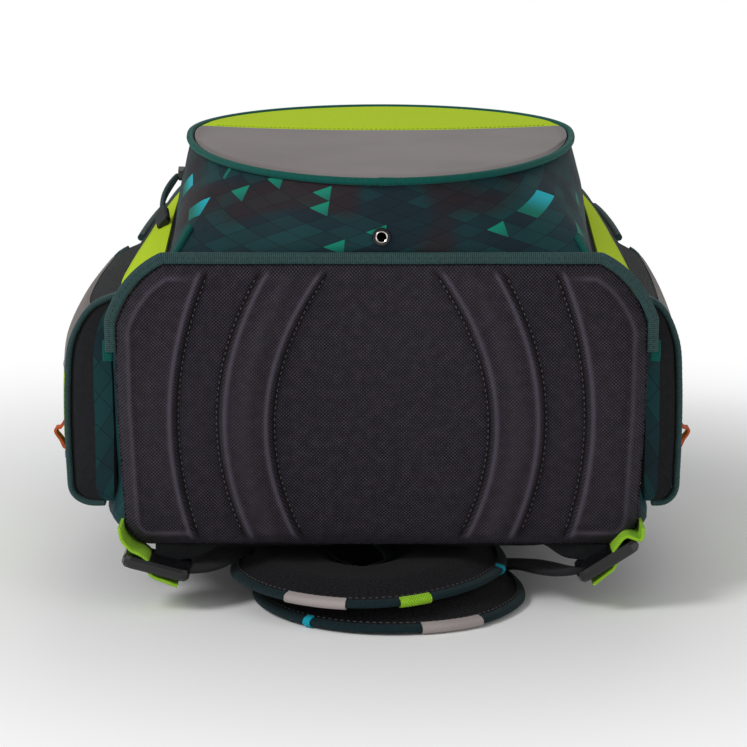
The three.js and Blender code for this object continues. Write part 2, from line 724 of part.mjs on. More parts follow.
function backPad({ side }) {
  const middle = (side * (BACK_PAD.channel + BACK_PAD.width)) / 2;
  const top = BACK_Z - GAP;
  const rows = [
    { z: 0, inset: 0 },
    { z: 0.45, inset: -1.5 },
    { z: 0.82, inset: 2 },
    { z: 1, inset: 7 },
  ];
  const rings = rows.map((row) =>
    roundedRect(BACK_PAD.width - 2 * row.inset, BACK_PAD.length - 2 * row.inset, 26, 4).map(([x, y]) =>
      v3(middle + x, BACK_PAD.start + BACK_PAD.length / 2 + y, top - row.z * BACK_PAD.thick),
    ),
  );
  return loft(rings);
}

// The centre line of a strap, with its width at each point.
function strapLine(rows, steps = 30) {
  const half = STRAP.thick / 2;
  const level = STRAP.thick + GAP;
  const points = rows.map((row) =>
    v3(row.x * BODY.width, row.y * BODY.height, half + row.lift * level));
  const curve = new THREE.CatmullRomCurve3(points, false, "centripetal");
  const widths = rows.map((row) => row.width);
  const path = [];
  const wide = [];
  for (let k = 0; k <= steps; k++) {
    const t = k / steps;
    const p = curve.getPoint(t);
    p.z = Math.max(p.z, half);
    path.push(p);
    const f = t * (rows.length - 1);
    const i = Math.min(Math.floor(f), rows.length - 2);
    wide.push(mix(widths[i], widths[i + 1], f - i));
  }
  return { path, wide, curve };
}

function strapForm(rows, off = 0) {
  const { path, wide } = strapLine(rows);
  const last = path.length - 1;
  const section = roundedRect(STRAP.width + 2 * off, STRAP.thick + 2 * off, STRAP.thick * 0.4, 1);
  return sweep(path, () => v3(0, 0, 1), section, {
    scale: (t) => wide[Math.round(t * last)],
    thin: (t) => Math.min(1, mix(STRAP.rootThick / STRAP.thick, 1, t * 9)),
  });
}

const shoulderStrap = (rows) => cut(strapForm(rows), bodyForm(GAP));

// A reflective strip on the strap's rim, at a stretch of its length.
function strapPatch(rows, from, to, side, rise) {
  const { curve } = strapLine(rows);
  const points = [];
  for (let k = 0; k <= 4; k++) {
    const t = mix(from, to, k / 4);
    const out = v3().crossVectors(curve.getTangent(t), v3(0, 0, 1)).normalize();
    points.push(curve.getPoint(t).addScaledVector(out, (side * STRAP.width) / 2));
  }
  const strip = sweep(points, () => v3(0, 0, 1), roundedRect(2 * (GAP + TRIM), STRAP.thick * rise, 0.5, 1));
  return cut(strip, strapForm(rows, GAP));
}

// Webbing and ladder locks

// A lock's own directions: u outwards along its length, w up through it.
function lockFrame(lock) {
  const a = THREE.MathUtils.degToRad(lock.tilt);
  const u = v3(lock.side * Math.cos(a), 0, Math.sin(a));
  const w = v3(-lock.side * Math.sin(a), 0, Math.cos(a));
  const centre = v3(lock.side * (BODY.width / 2 - lock.inset), LOCK_Y, lock.z);
  return { at: (du, dw) => centre.clone().addScaledVector(u, du).addScaledVector(w, dw) };
}

// Lime webbing: from the seam at the base's corner, down through the lock, with a short free tail.
function lowerWeb(lock, off = 0) {
  const { at } = lockFrame(lock);
  const size = bodySize(BODY_START);
  const half = (lock.side < 0 ? size.left : size.right) - BODY.taper;
  const round = (degrees, off) => {
    const a = THREE.MathUtils.degToRad(degrees);
    const r = BODY.backRound + off;
    const x = half - BODY.backRound + r * Math.sin(a);
    return v3(lock.side * x, LOCK_Y, BACK_Z + BODY.backRound - r * Math.cos(a));
  };
  const hug = WEB.thick / 2 + 2 * GAP + PAD.swell;
  const points = [
    round(84, hug), round(62, hug + 0.8), at(15.5, 6.4), at(9.5, 5), at(5.2, 2.4),
    at(4.2, -1.8), at(0.5, -5), at(-6, -6), at(-14, -7),
  ];
  const path = new THREE.CatmullRomCurve3(points, false, "centripetal").getPoints(16);
  const section = roundedRect(WEB.thick + 2 * off, WEB.width + 2 * off, 0.6, 1);
  return sweep(path, () => v3(0, 1, 0), section);
}

// Black webbing from the strap's end up to the lock's inner bar.
function adjusterLine(lock, rows) {
  const { path } = strapLine(rows);
  const end = path[path.length - 1];
  const { at } = lockFrame(lock);
  const target = at(-10, 0);
  const gather = v3(mix(end.x, target.x, 0.45), mix(end.y, target.y, 0.3), mix(end.z, target.z, 0.3));
  const near = v3(mix(end.x, target.x, 0.78), target.y + 7, mix(end.z, target.z, 0.72));
  const curve = new THREE.CatmullRomCurve3([end, gather, near, target], false, "centripetal");
  return curve.getPoints(12);
}

function adjusterWeb(lock, rows, off = 0) {
  const path = adjusterLine(lock, rows);
  const section = roundedRect(WEB.width + 2 * off, WEB.thick + 2 * off, 0.6, 1);
  const web = sweep(path, () => v3(0, 0, 1), section);
  return off ? web : cut(web, strapForm(rows, GAP), strapForm(otherRoute(rows), GAP), lowerWeb(lock, GAP));
}

const otherRoute = (rows) => (rows === LEFT_ROUTE ? RIGHT_ROUTE : LEFT_ROUTE);

function ladderLock(lock, rows) {
  const outline = roundedRect(LOCK.length, LOCK.width, 4, 2);
  const { at } = lockFrame(lock);
  const ring = (w, inset) =>
    outline.map(([u, y]) => {
      const p = at(u * (1 - inset / LOCK.length), w);
      p.y += y * (1 - inset / LOCK.width);
      return p;
    });
  const half = LOCK.thick / 2;
  const plate = loft([ring(-half, 2), ring(-half * 0.5, 0), ring(half * 0.5, 0), ring(half, 2)]);
  const slack = GAP + 0.15;
  const webs = [lowerWeb(lock, slack), adjusterWeb(lock, rows, slack)];
  return cut(plate, ...webs, baseKeepOut(), bodyForm(GAP));
}

// The base pad with the clearance round it, for cutting what passes it.
function baseKeepOut() {
  return loft([-GAP, BODY_START + GAP].map((y) => baseRing(y, GAP + PAD.swell)));
}

// Lid, clasp and handle

// Heights round the lid's wall, share 0 at its roof and 1 at its rim; the front hangs lowest.
function lidRing(off, share) {
  const top = BODY_END + LID.clear;
  return bodyRing(BODY_END, off).map((p) => {
    const front = THREE.MathUtils.smoothstep(p.z, FRONT_Z - BODY.chamfer * 0.6, FRONT_Z);
    const back = p.z < BACK_Z + BODY.backRound * 0.5;
    const drop = mix(back ? LID.skirt * 0.45 : LID.skirt, LID.flap, front);
    return mix(top, BODY_END - drop, share);
  });
}

function lid() {
  const seat = LID.clear;
  const top = BODY_END + LID.clear;
  const ringAt = (off, share) =>
    lidRing(off, share).map((y, i) => bodyRing(y, off)[i]);
  const rim = [1, 0.4, 0];
  const inner = rim.map((share) => ringAt(seat, share)).reverse();
  const outer = rim.map((share) => ringAt(seat + LID.wall, share));
  const cap = [
    bodyRing(BODY_END, seat + LID.wall - 1).map((p) => p.setY(top + LID.wall * 0.7)),
    bodyRing(BODY_END, seat - 4).map((p) => p.setY(top + LID.wall)),
  ];
  return cut(loft([...inner, ...outer, ...cap]), bodyForm(GAP), pocketForm(2 * GAP));
}

function lidClasp() {
  const y = BODY_END - LID.flap + 4;
  const z = FRONT_Z + LID.clear + LID.wall + GAP;
  const rows = [
    { at: 0, inset: 0 },
    { at: 0.7, inset: 0 },
    { at: 1, inset: 2 },
  ];
  return loft(rows.map((row) =>
    roundedRect(CLASP.width - 2 * row.inset, CLASP.height - 2 * row.inset, 6, 3).map(([x, dy]) =>
      v3(x, y + CLASP.height / 2 + dy, z + row.at * CLASP.thick))));
}

function topHandle() {
  const base = BODY_END + LID.clear + LID.wall + GAP;
  const half = HANDLE.span / 2;
  const z = BACK_Z + BODY.depth * 0.24;
  const level = base + HANDLE.thick / 2 + GAP;
  const shares = [
    { x: -1.14, rise: 0 },
    { x: -0.98, rise: 0 },
    { x: -0.88, rise: 0.3 },
    { x: -0.74, rise: 0.78 },
    { x: -0.42, rise: 1 },
    { x: 0, rise: 1.04 },
  ];
  const points = [...shares, ...shares.slice(0, -1).reverse().map((row) => ({ ...row, x: -row.x }))]
    .map((row) => v3(row.x * half, level + row.rise * HANDLE.rise, z));
  const path = new THREE.CatmullRomCurve3(points, false, "centripetal").getPoints(20);
  return sweep(path, () => v3(0, 0, 1), roundedRect(HANDLE.thick, HANDLE.width, 1.8, 1));
}

// Assembly

const material = (color, roughness, metalness = 0) =>
  new THREE.MeshStandardMaterial({ color, roughness, metalness });

const MATERIALS = {
  pad: material(0x2a272e, 0.95),
  print: material(0x20343a, 0.6),
  charcoal: material(0x2b2b2e, 0.85),
  grosgrain: material(0x2f4748, 0.8),
  teal: material(0x13685a, 0.6),
  lime: material(0xa3c132, 0.6),
  reflective: material(0x867e7c, 0.4),
  mesh: material(0x1a191c, 0.95),
  plastic: material(0x131315, 0.35),
  metal: material(0xb8b8bb, 0.3, 1),
  orange: material(0xc8502a, 0.7),
};

const ransel = new THREE.Group();

function add(name, geometry, finish) {
  const mesh = new THREE.Mesh(geometry, MATERIALS[finish].clone());
  mesh.name = name;
  ransel.add(mesh);
}

add("base_pad", basePad(), "pad");
add("base_binding", baseBinding(), "grosgrain");
add("body_shell", bodyShell(), "charcoal");
add("front_pocket_gusset", frontPocketGusset(), "print");
add("front_pocket_panel_lower", panelPlate(true), "reflective");
add("front_pocket_panel_upper", panelPlate(false), "lime");
add("front_pocket_piping", panelCurve(PIPING.radius), "teal");
add("drain_eyelet", drainEyelet(), "metal");
add("front_zip_tape", frontZipTape(), "plastic");
add("zip_slider", zipSlider(), "metal");
add("zip_pull", zipPull(), "teal");
for (const place of SIDES) {
  add(`corner_panel_${place.name}`, cornerPanel(place), "lime");
  add(`side_pocket_${place.name}`, sidePocket(place), "charcoal");
  add(`side_pocket_binding_${place.name}`, pocketBinding(place), "grosgrain");
  add(`side_panel_${place.name}`, pocketPatch(place, 0.15, 0.59), "lime");
  add(`side_reflector_${place.name}`, pocketPatch(place, 0.6, 0.93), "reflective");
  add(`side_label_${place.name}`, sideLabel(place), "orange");
  add(`back_pad_${place.name}`, backPad(place), "mesh");
}
const ROUTES = [LEFT_ROUTE, RIGHT_ROUTE];
LOCKS.forEach((lock, i) => {
  add(`shoulder_strap_${lock.name}`, shoulderStrap(ROUTES[i]), "mesh");
  add(`ladder_lock_${lock.name}`, ladderLock(lock, ROUTES[i]), "plastic");
  add(`lower_web_${lock.name}`, cut(lowerWeb(lock), baseKeepOut(), bodyForm(GAP)), "lime");
  add(`adjuster_web_${lock.name}`, adjusterWeb(lock, ROUTES[i]), "mesh");
});
add("strap_reflector_left", strapPatch(LEFT_ROUTE, 0.745, 0.79, -1, 0.55), "reflective");
add("strap_reflector_right", strapPatch(RIGHT_ROUTE, 0.75, 0.8, 1, 0.6), "reflective");
add("strap_tab_left", strapPatch(LEFT_ROUTE, 0.68, 0.725, -1, 0.4), "lime");
add("lid", lid(), "print");
add("lid_clasp", lidClasp(), "plastic");
add("top_handle", topHandle(), "mesh");

// The origin is under the middle of the whole, on the surface that it lies on.
const box = new THREE.Box3().setFromObject(ransel);
ransel.position.set(-(box.min.x + box.max.x) / 2, -(box.min.y + box.max.y) / 2, -box.min.z);

export default ransel;
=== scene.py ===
# %% [markdown]
# # A school ransel, seen towards its base
#
# The bag lies on its back with the front pocket up, and the camera looks at the base pad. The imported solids
# give every place and size. Each soft solid gets a finer piece of cloth in its place, made by the same rules
# as the solid but with many more points, so that seams, channels and swells can be real shape.

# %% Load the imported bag
import math

import bmesh
import bpy
import numpy as np
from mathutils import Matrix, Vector


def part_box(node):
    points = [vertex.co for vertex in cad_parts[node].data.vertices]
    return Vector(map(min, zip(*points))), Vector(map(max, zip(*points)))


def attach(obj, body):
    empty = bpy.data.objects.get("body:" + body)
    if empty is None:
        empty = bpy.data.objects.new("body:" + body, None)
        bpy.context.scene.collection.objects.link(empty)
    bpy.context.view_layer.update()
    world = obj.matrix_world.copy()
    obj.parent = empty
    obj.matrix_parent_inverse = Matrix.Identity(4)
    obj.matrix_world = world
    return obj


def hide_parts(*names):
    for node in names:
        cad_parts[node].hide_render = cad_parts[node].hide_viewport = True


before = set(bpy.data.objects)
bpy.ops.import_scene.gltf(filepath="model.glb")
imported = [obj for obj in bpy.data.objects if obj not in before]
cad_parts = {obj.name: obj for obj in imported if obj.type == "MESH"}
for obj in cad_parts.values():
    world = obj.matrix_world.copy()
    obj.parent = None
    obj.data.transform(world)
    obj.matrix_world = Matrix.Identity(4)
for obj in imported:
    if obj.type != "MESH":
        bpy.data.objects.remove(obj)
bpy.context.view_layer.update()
print("nodes:", len(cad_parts))

# %% [markdown]
# The bag's own drawing frame has x = 0 at its middle line, y = 0 at the face of the base pad and z = 0 on the
# floor, in millimetres. The eyelet sits on the middle line and the pad's face is the lowest y of its node, so
# both are read from the frame, and every point below is written in the drawing's millimetres.

# %% The drawing frame
eyelet_low, eyelet_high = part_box("drain_eyelet")
ORIGIN = np.array([(eyelet_low.x + eyelet_high.x) / 2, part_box("base_pad")[0].y, 0.0])
print("origin of the drawing, mm:", (ORIGIN * 1000).round(2))

# %% [markdown]
# The photograph looks at the base from 12 degrees above its normal, from about 1.4 m. A long lens on a 36 mm
# sensor gives that framing without any shift, so turning the camera round the bag later stays simple.

# %% Camera
camera_data = bpy.data.cameras.new("camera")
camera_data.lens, camera_data.sensor_width = 124.1, 36.0
camera = bpy.data.objects.new("camera", camera_data)
bpy.context.scene.collection.objects.link(camera)
CAMERA_TILT, CAMERA_DISTANCE = math.radians(12), 1400
AIM = np.array([-4.35, 0.0, 134.0])
away = np.array([0, -math.cos(CAMERA_TILT), math.sin(CAMERA_TILT)])
camera.location = (AIM + CAMERA_DISTANCE * away) / 1000 + ORIGIN
camera.rotation_euler = (math.pi / 2 - CAMERA_TILT, 0, 0)
bpy.context.scene.camera = camera
print("camera at, mm:", [round(v * 1000, 1) for v in camera.location])

# %% [markdown]
# A product picture has no room in it: a pale floor, a bright even surround and three wide soft lamps. The key
# lamp stands up and to the left, which is why the left side of each ridge of the base is the light one. The
# camera sees pure white behind the bag, while the surround that lights it is dimmer, so cloth keeps its depth.

# %% Floor and light
def set_input(node, name, value):
    """Sets one named input of a node."""
    node.inputs[name].default_value = value


FLOOR_HALF = 6.0
FADE_START, FADE_END = 0.22, 0.6  # metres from the bag's middle, between which the floor goes over to plain white
SURROUND = 0.42
floor_mesh = bpy.data.meshes.new("floor")
floor_corners = [(x * FLOOR_HALF, y * FLOOR_HALF, 0) for x, y in ((-1, -1), (1, -1), (1, 1), (-1, 1))]
floor_mesh.from_pydata(floor_corners, [], [(0, 1, 2, 3)])
floor = bpy.data.objects.new("floor", floor_mesh)
bpy.context.scene.collection.objects.link(floor)
floor_finish = bpy.data.materials.new("pale floor")
floor_finish.use_nodes = True
floor_shader = floor_finish.node_tree.nodes["Principled BSDF"]
set_input(floor_shader, "Base Color", (0.93, 0.93, 0.93, 1))
set_input(floor_shader, "Roughness", 0.9)
nodes, links = floor_finish.node_tree.nodes, floor_finish.node_tree.links
bright, blend, fade = (nodes.new("ShaderNode" + kind) for kind in ("Emission", "MixShader", "MapRange"))
reach, where = nodes.new("ShaderNodeVectorMath"), nodes.new("ShaderNodeTexCoord")
reach.operation, fade.interpolation_type = "LENGTH", "SMOOTHSTEP"
set_input(fade, "From Min", FADE_START)
set_input(fade, "From Max", FADE_END)
for first, second in ((where.outputs["Object"], reach.inputs[0]), (reach.outputs["Value"], fade.inputs[0]),
                      (fade.outputs[0], blend.inputs[0]), (floor_shader.outputs[0], blend.inputs[1]),
                      (bright.outputs[0], blend.inputs[2]), (blend.outputs[0], nodes["Material Output"].inputs[0])):
    links.new(first, second)
floor_mesh.materials.append(floor_finish)

world = bpy.data.worlds.new("studio")
bpy.context.scene.world = world
world.use_nodes = True
sky = world.node_tree
light = sky.nodes["Background"]
backdrop, seen, choice = (sky.nodes.new("ShaderNode" + kind) for kind in ("Background", "LightPath", "MixShader"))
set_input(light, "Color", (1, 1, 1, 1))
set_input(light, "Strength", SURROUND)
set_input(backdrop, "Color", (1, 1, 1, 1))
for first, second in ((seen.outputs["Is Camera Ray"], choice.inputs[0]), (light.outputs[0], choice.inputs[1]),
                      (backdrop.outputs[0], choice.inputs[2]),
                      (choice.outputs[0], sky.nodes["World Output"].inputs[0])):
    sky.links.new(first, second)


def lamp(name, place, aim, size, power):
    """A square lamp turned towards its aim."""
    data = bpy.data.lights.new(name, "AREA")
    data.size, data.energy = size, power
    body = bpy.data.objects.new(name, data)
    bpy.context.scene.collection.objects.link(body)
    body.location = place
    way = Vector(aim) - Vector(place)
    body.rotation_euler = way.to_track_quat("-Z", "Y").to_euler()


# each lamp's place and aim in metres, the side of its square and its watts
for lamp_row in (("key", (-1.5, -1.1, 1.6), (0, 0, 0.12), 0.7, 25), ("fill", (1.6, -1.5, 0.8), (0, 0, 0.1), 1.2, 6),
                 ("back", (0.2, 1.6, 1.4), (0, 0, 0.15), 1.2, 8)):
    lamp(*lamp_row)
bpy.context.scene.view_settings.view_transform = "Standard"

# %% [markdown]
# # Tools for cloth
#
# Every piece of cloth here is a closed body: a loft through rings of points. A sheet is a loft too, with a
# ring that goes out along its outside and back along its inside. Each loft also lays a map of its surface in
# metres, so that a weave keeps its true scale wherever the cloth bends.

# %% Loft
STRIP_MAP = 0.002  # how much of the map, in metres, the edge of a sheet takes


def loft(name, rings, joined=False, cap="fan", wrap_start=0.0, smooth_angle=50):
    """A closed body through rings of points in drawing millimetres; cap is fan or strip."""
    rings = np.asarray(rings, float)
    rows, cols = rings.shape[:2]
    points = rings.reshape(-1, 3)
    last = rows if joined else rows - 1
    r, c = np.meshgrid(np.arange(last), np.arange(cols), indexing="ij")
    after, right = (r + 1) % rows, (c + 1) % cols
    faces = np.stack([r * cols + c, r * cols + right, after * cols + right, after * cols + c], -1)
    step = np.linalg.norm(np.roll(rings, -1, 1) - rings, axis=2)
    across = np.concatenate([[0], np.cumsum(step.mean(0))]) / 1000
    run = np.linalg.norm(np.roll(rings, -1, 0) - rings, axis=2)
    along = np.concatenate([[0], np.cumsum(run.mean(1))]) / 1000
    across += wrap_start
    uv = np.stack([
        np.stack([across[c], along[r]], -1), np.stack([across[c + 1], along[r]], -1),
        np.stack([across[c + 1], along[r + 1]], -1), np.stack([across[c], along[r + 1]], -1)], 2)
    quads = faces.reshape(-1, 4).tolist()
    flat_uv = [uv.reshape(-1, 2)]
    points = points.tolist()
    if not joined:
        for row in (0, rows - 1):
            if cap == "fan":
                points.append(rings[row].mean(0).tolist())
                middle = len(points) - 1
                for i in range(cols):
                    quads.append([row * cols + i, row * cols + (i + 1) % cols, middle])
                rim = rings[row]
                spread = (rim - rim.mean(0)) / 1000
                flat = np.stack([spread[:, 0], spread[:, 1] + spread[:, 2]], -1)
                flat_uv.append(np.stack([flat, np.roll(flat, -1, 0), flat * 0], 1).reshape(-1, 2))
            else:
                half = cols // 2
                for i in range(half - 1):
                    a, b = row * cols + i, row * cols + cols - 1 - i
                    u0, u1 = across[i], across[i + 1]
                    quads.append([a, a + 1, b - 1, b])
                    flat_uv.append(np.array([[u0, 0], [u1, 0], [u1, STRIP_MAP], [u0, STRIP_MAP]]))
    return mesh_object(name, points, quads, np.concatenate(flat_uv), smooth_angle)


def mesh_object(name, points, faces, uv=None, smooth_angle=50):
    """An object from points in drawing millimetres, with its faces turned outwards and its hard edges kept."""
    mesh = bpy.data.meshes.new(name)
    mesh.from_pydata((np.asarray(points) / 1000 + ORIGIN).tolist(), [], faces)
    if uv is not None:
        layer = mesh.uv_layers.new(name="cloth")
        layer.data.foreach_set("uv", np.asarray(uv, np.float32).ravel())
    body = bmesh.new()
    body.from_mesh(mesh)
    bmesh.ops.recalc_face_normals(body, faces=body.faces)
    body.to_mesh(mesh)
    body.free()
    mesh.polygons.foreach_set("use_smooth", np.ones(len(mesh.polygons), bool))
    mesh.set_sharp_from_angle(angle=math.radians(smooth_angle))
    piece = bpy.data.objects.new(name, mesh)
    bpy.context.scene.collection.objects.link(piece)
    return piece


def sheet_body(name, outer, inner, **words):
    """A thick sheet between two grids of the same size."""
    return loft(name, np.concatenate([outer, inner[:, ::-1]], 1), cap="strip", **words)


# %% [markdown]
# Routes are written as a few points, as a pattern cutter would mark them, and a centripetal spline runs
# through them. A section is carried along a route with its up side kept towards a chosen direction.

# %% Splines, sections and sweeps
def spline(points, shares):
    """A centripetal spline through points, at shares from 0 to 1 counted in control points."""
    points = np.asarray(points, float)
    count = len(points)
    made = []
    for share in np.atleast_1d(shares):
        at = min(max(share, 0), 1) * (count - 1)
        k = min(int(at), count - 2)
        t = at - k
        p1, p2 = points[k], points[k + 1]
        p0 = points[k - 1] if k > 0 else 2 * p1 - p2
        p3 = points[k + 2] if k + 2 < count else 2 * p2 - p1
        d0, d1, d2 = (max(np.linalg.norm(b - a) ** 0.5, 1e-4) for a, b in ((p0, p1), (p1, p2), (p2, p3)))
        m1 = ((p1 - p0) / d0 - (p2 - p0) / (d0 + d1) + (p2 - p1) / d1) * d1
        m2 = ((p2 - p1) / d1 - (p3 - p1) / (d1 + d2) + (p3 - p2) / d2) * d1
        made.append((2 * t**3 - 3 * t**2 + 1) * p1 + (t**3 - 2 * t**2 + t) * m1
                    + (3 * t**2 - 2 * t**3) * p2 + (t**3 - t**2) * m2)
    return np.array(made)


def unit(vectors):
    """Each vector at length 1."""
    return vectors / np.maximum(np.linalg.norm(vectors, axis=-1, keepdims=True), 1e-9)


def rounded_rect(width, height, radius, steps=4, fill=1):
    """Section points; fill adds points along the straight runs."""
    r = min(radius, width / 2 - 0.01, height / 2 - 0.01)
    corners = [(width / 2 - r, height / 2 - r, 0), (-width / 2 + r, height / 2 - r, 90),
               (-width / 2 + r, -height / 2 + r, 180), (width / 2 - r, -height / 2 + r, 270)]
    rim = []
    for x, y, start in corners:
        for k in range(steps + 1):
            a = math.radians(start + 90 * k / steps)
            rim.append((x + r * math.cos(a), y + r * math.sin(a)))
        if fill > 1:
            nx, ny, nstart = corners[(corners.index((x, y, start)) + 1) % 4]
            a = math.radians(nstart)
            end = (nx + r * math.cos(a), ny + r * math.sin(a))
            for k in range(1, fill):
                rim.append((rim[-1][0] + (end[0] - rim[-1][0]) / (fill - k + 1),
                            rim[-1][1] + (end[1] - rim[-1][1]) / (fill - k + 1)))
    return np.array(rim)


def sweep_rings(path, up, section, scale=None, thin=None, joined=False):
    """A section carried along a path; scale widens it, and thin stretches it upwards."""
    path = np.asarray(path, float)
    before = np.roll(path, 1, 0) if joined else np.concatenate([path[:1], path[:-1]])
    after = np.roll(path, -1, 0) if joined else np.concatenate([path[1:], path[-1:]])
    along = unit(after - before)
    side = unit(np.cross(along, np.broadcast_to(up, path.shape)))
    rise = np.cross(side, along)
    scale = np.ones(len(path)) if scale is None else scale
    thin = np.ones(len(path)) if thin is None else thin
    return (path[:, None] + section[None, :, :1] * scale[:, None, None] * side[:, None]
            + section[None, :, 1:] * thin[:, None, None] * rise[:, None])


def ripple(points, seed, size, octaves=3):
    """A fixed gentle unevenness, as cloth has, from a few sine waves; size is its wavelength in mm."""
    rng = np.random.default_rng(seed)
    total = np.zeros(points.shape[:-1])
    for k in range(octaves):
        for _ in range(3):
            way = unit(rng.normal(size=3)) * 2 * math.pi * 1.7**k / size
            total += np.sin(points @ way + rng.uniform(0, 6.28)) / (3 * 1.6**k)
    return total


def resample(ring, count, closed=True):
    """Points evenly spaced along a line."""
    ring = np.asarray(ring, float)
    line = np.concatenate([ring, ring[:1]]) if closed else ring
    reach = np.concatenate([[0], np.cumsum(np.linalg.norm(np.diff(line, axis=0), axis=1))])
    at = np.linspace(0, reach[-1], count + 1)[:-1] if closed else np.linspace(0, reach[-1], count)
    return np.stack([np.interp(at, reach, line[:, k]) for k in range(3)], 1)


print("tools ready")

# %% [markdown]
# # Finishes
#
# Each finish is a small graph of nodes. A weave can be painted on a picture or worked out from the cloth's own
# map. The second keeps its threads sharp at any distance and needs no file, so all of them are made that way.
# Values that are the same all over a finish are set on the shader itself.

# %% Node helpers
class Finish:
    """One material being built: node() adds a node, and its inputs are numbers, colours or sockets."""

    def __init__(self, name, roughness, sheen=0.0, metallic=0.0, specular=0.4):
        self.material = bpy.data.materials.new(name)
        self.material.use_nodes = True
        self.tree = self.material.node_tree
        self.shader = self.tree.nodes["Principled BSDF"]
        set_input(self.shader, "Roughness", roughness)
        set_input(self.shader, "Sheen Weight", sheen)
        set_input(self.shader, "Sheen Roughness", 0.4)
        set_input(self.shader, "Metallic", metallic)
        set_input(self.shader, "Specular IOR Level", specular)

    def put(self, socket, value):
        """Joins a socket to an input, or sets it to a number or colour."""
        if isinstance(value, bpy.types.NodeSocket):
            self.tree.links.new(value, socket)
        elif value is not None:
            socket.default_value = value

    def node(self, kind, *inputs, **settings):
        """Adds a node and gives back its first output."""
        made = self.tree.nodes.new(kind)
        for key, value in settings.items():
            setattr(made, key, value)
        for socket, value in zip(made.inputs, inputs):
            self.put(socket, value)
        return made.outputs[0]

    def sum(self, operation, *values):
        """One step of arithmetic on sockets or numbers."""
        return self.node("ShaderNodeMath", *values, operation=operation)

    def mix(self, factor, first, second):
        """Two colours mixed by a factor."""
        made = self.tree.nodes.new("ShaderNodeMix")
        made.data_type = "RGBA"
        self.put(made.inputs["Factor"], factor)
        self.put(made.inputs[6], first)
        self.put(made.inputs[7], second)
        return made.outputs[2]

    def step(self, value, low, high, out_low=0.0, out_high=1.0):
        """A soft step from out_low to out_high as value goes from low to high."""
        return self.node("ShaderNodeMapRange", value, low, high, out_low, out_high, interpolation_type="SMOOTHSTEP")

    def noise(self, vector, scale, detail=2.0):
        made = self.tree.nodes.new("ShaderNodeTexNoise")
        self.put(made.inputs["Vector"], vector)
        self.put(made.inputs["Scale"], scale)
        self.put(made.inputs["Detail"], detail)
        return made.outputs["Fac"]

    def cloth(self):
        """The piece's own map, in metres."""
        return self.node("ShaderNodeUVMap", uv_map="cloth")

    def place(self):
        """The place on the bag, in metres."""
        return self.tree.nodes.new("ShaderNodeTexCoord").outputs["Object"]

    def apart(self, vector):
        made = self.tree.nodes.new("ShaderNodeSeparateXYZ")
        self.put(made.inputs[0], vector)
        return made.outputs

    def scaled(self, vector, scale):
        """The map at a scale at which one repeat is one unit, or one turn of a sine."""
        return self.node("ShaderNodeMapping", vector, (0, 0, 0), (0, 0, 0), (scale, scale, scale))

    def finish(self, colour, height=None, strength=0.5, depth=0.0004, roughness=None):
        """Joins colour, fine relief and roughness to the shader."""
        self.put(self.shader.inputs["Base Color"], colour)
        if roughness is not None:
            self.put(self.shader.inputs["Roughness"], roughness)
        if height is not None:
            bump = self.tree.nodes.new("ShaderNodeBump")
            self.put(bump.inputs["Height"], height)
            self.put(bump.inputs["Strength"], strength)
            self.put(bump.inputs["Distance"], depth)
            self.tree.links.new(bump.outputs[0], self.shader.inputs["Normal"])
        return self.material


# %% [markdown]
# A plain weave is two sets of threads that take turns on top. The product of two sines has that checkered
# rise and fall, at the cost of four nodes. A little noise makes some threads lighter, as in spun yarn, and a
# slow noise over the whole cloth stops it from looking printed.

# %% Woven cloth
def woven(name, dark, light, pitch, strength=0.6, patch=0.25, relief=False):
    """Plain weave of that thread pitch in metres; with relief, the pad's relief attribute paints highlight on its
    ridges and shade in its dips into the colour.
    """
    f = Finish(name, 0.9, 0.06, specular=0.2)
    at = f.cloth()
    x, y, _ = f.apart(f.scaled(at, 2 * math.pi / pitch))
    threads = f.sum("MULTIPLY", f.sum("SINE", x), f.sum("SINE", y))
    slub = f.noise(at, 0.35 / pitch, 3)
    lifted = f.sum("ADD", threads, f.sum("MULTIPLY", f.sum("SUBTRACT", slub, 0.5), 1.1))
    colour = f.mix(f.step(lifted, -0.1, 1.25), (*dark, 1), (*light, 1))
    worn = f.step(f.noise(f.place(), 9.0, 4), 0.35, 0.75, 0.0, patch)
    colour = f.mix(worn, colour, (*[min(1, c * 1.7 + 0.004) for c in light], 1))
    if relief:
        painted_shading_input = f.tree.nodes.new("ShaderNodeAttribute")
        painted_shading_input.attribute_name = "relief"
        # painted highlight where the relief attribute is above zero, painted shade where it is below
        proud = f.step(painted_shading_input.outputs["Fac"], 0.02, 1.0, 0.0, 0.5)
        sunk = f.step(painted_shading_input.outputs["Fac"], -0.05, -1.0, 0.0, 0.85)
        colour = f.mix(proud, colour, (*[c * 1.5 + 0.008 for c in light], 1))
        colour = f.mix(sunk, colour, (*[c * 0.3 for c in dark], 1))
    return f.finish(colour, threads, strength, pitch * 0.22)


def ribbed(name, dark, light, pitch, roughness=0.75, sheen=0.05, strength=0.7, chevron=0.0, specular=0.25):
    """Ribs that cross the cloth's length; chevron bends them into a herringbone of that width."""
    f = Finish(name, roughness, sheen, specular=specular)
    other, line, _ = f.apart(f.cloth())
    if chevron:
        line = f.sum("ADD", line, f.sum("PINGPONG", other, chevron))
    rib = f.sum("ABSOLUTE", f.sum("SINE", f.sum("MULTIPLY", line, math.pi / pitch)))
    fine = f.sum("SINE", f.sum("MULTIPLY", other, 2 * math.pi / (0.6 * pitch)))
    height = f.sum("ADD", rib, f.sum("MULTIPLY", fine, 0.18))
    mottle = f.noise(f.cloth(), 0.5 / pitch, 3)
    colour = f.mix(f.step(f.sum("ADD", height, mottle), 0.5, 1.7), (*dark, 1), (*light, 1))
    return f.finish(colour, height, strength, pitch * 0.3)
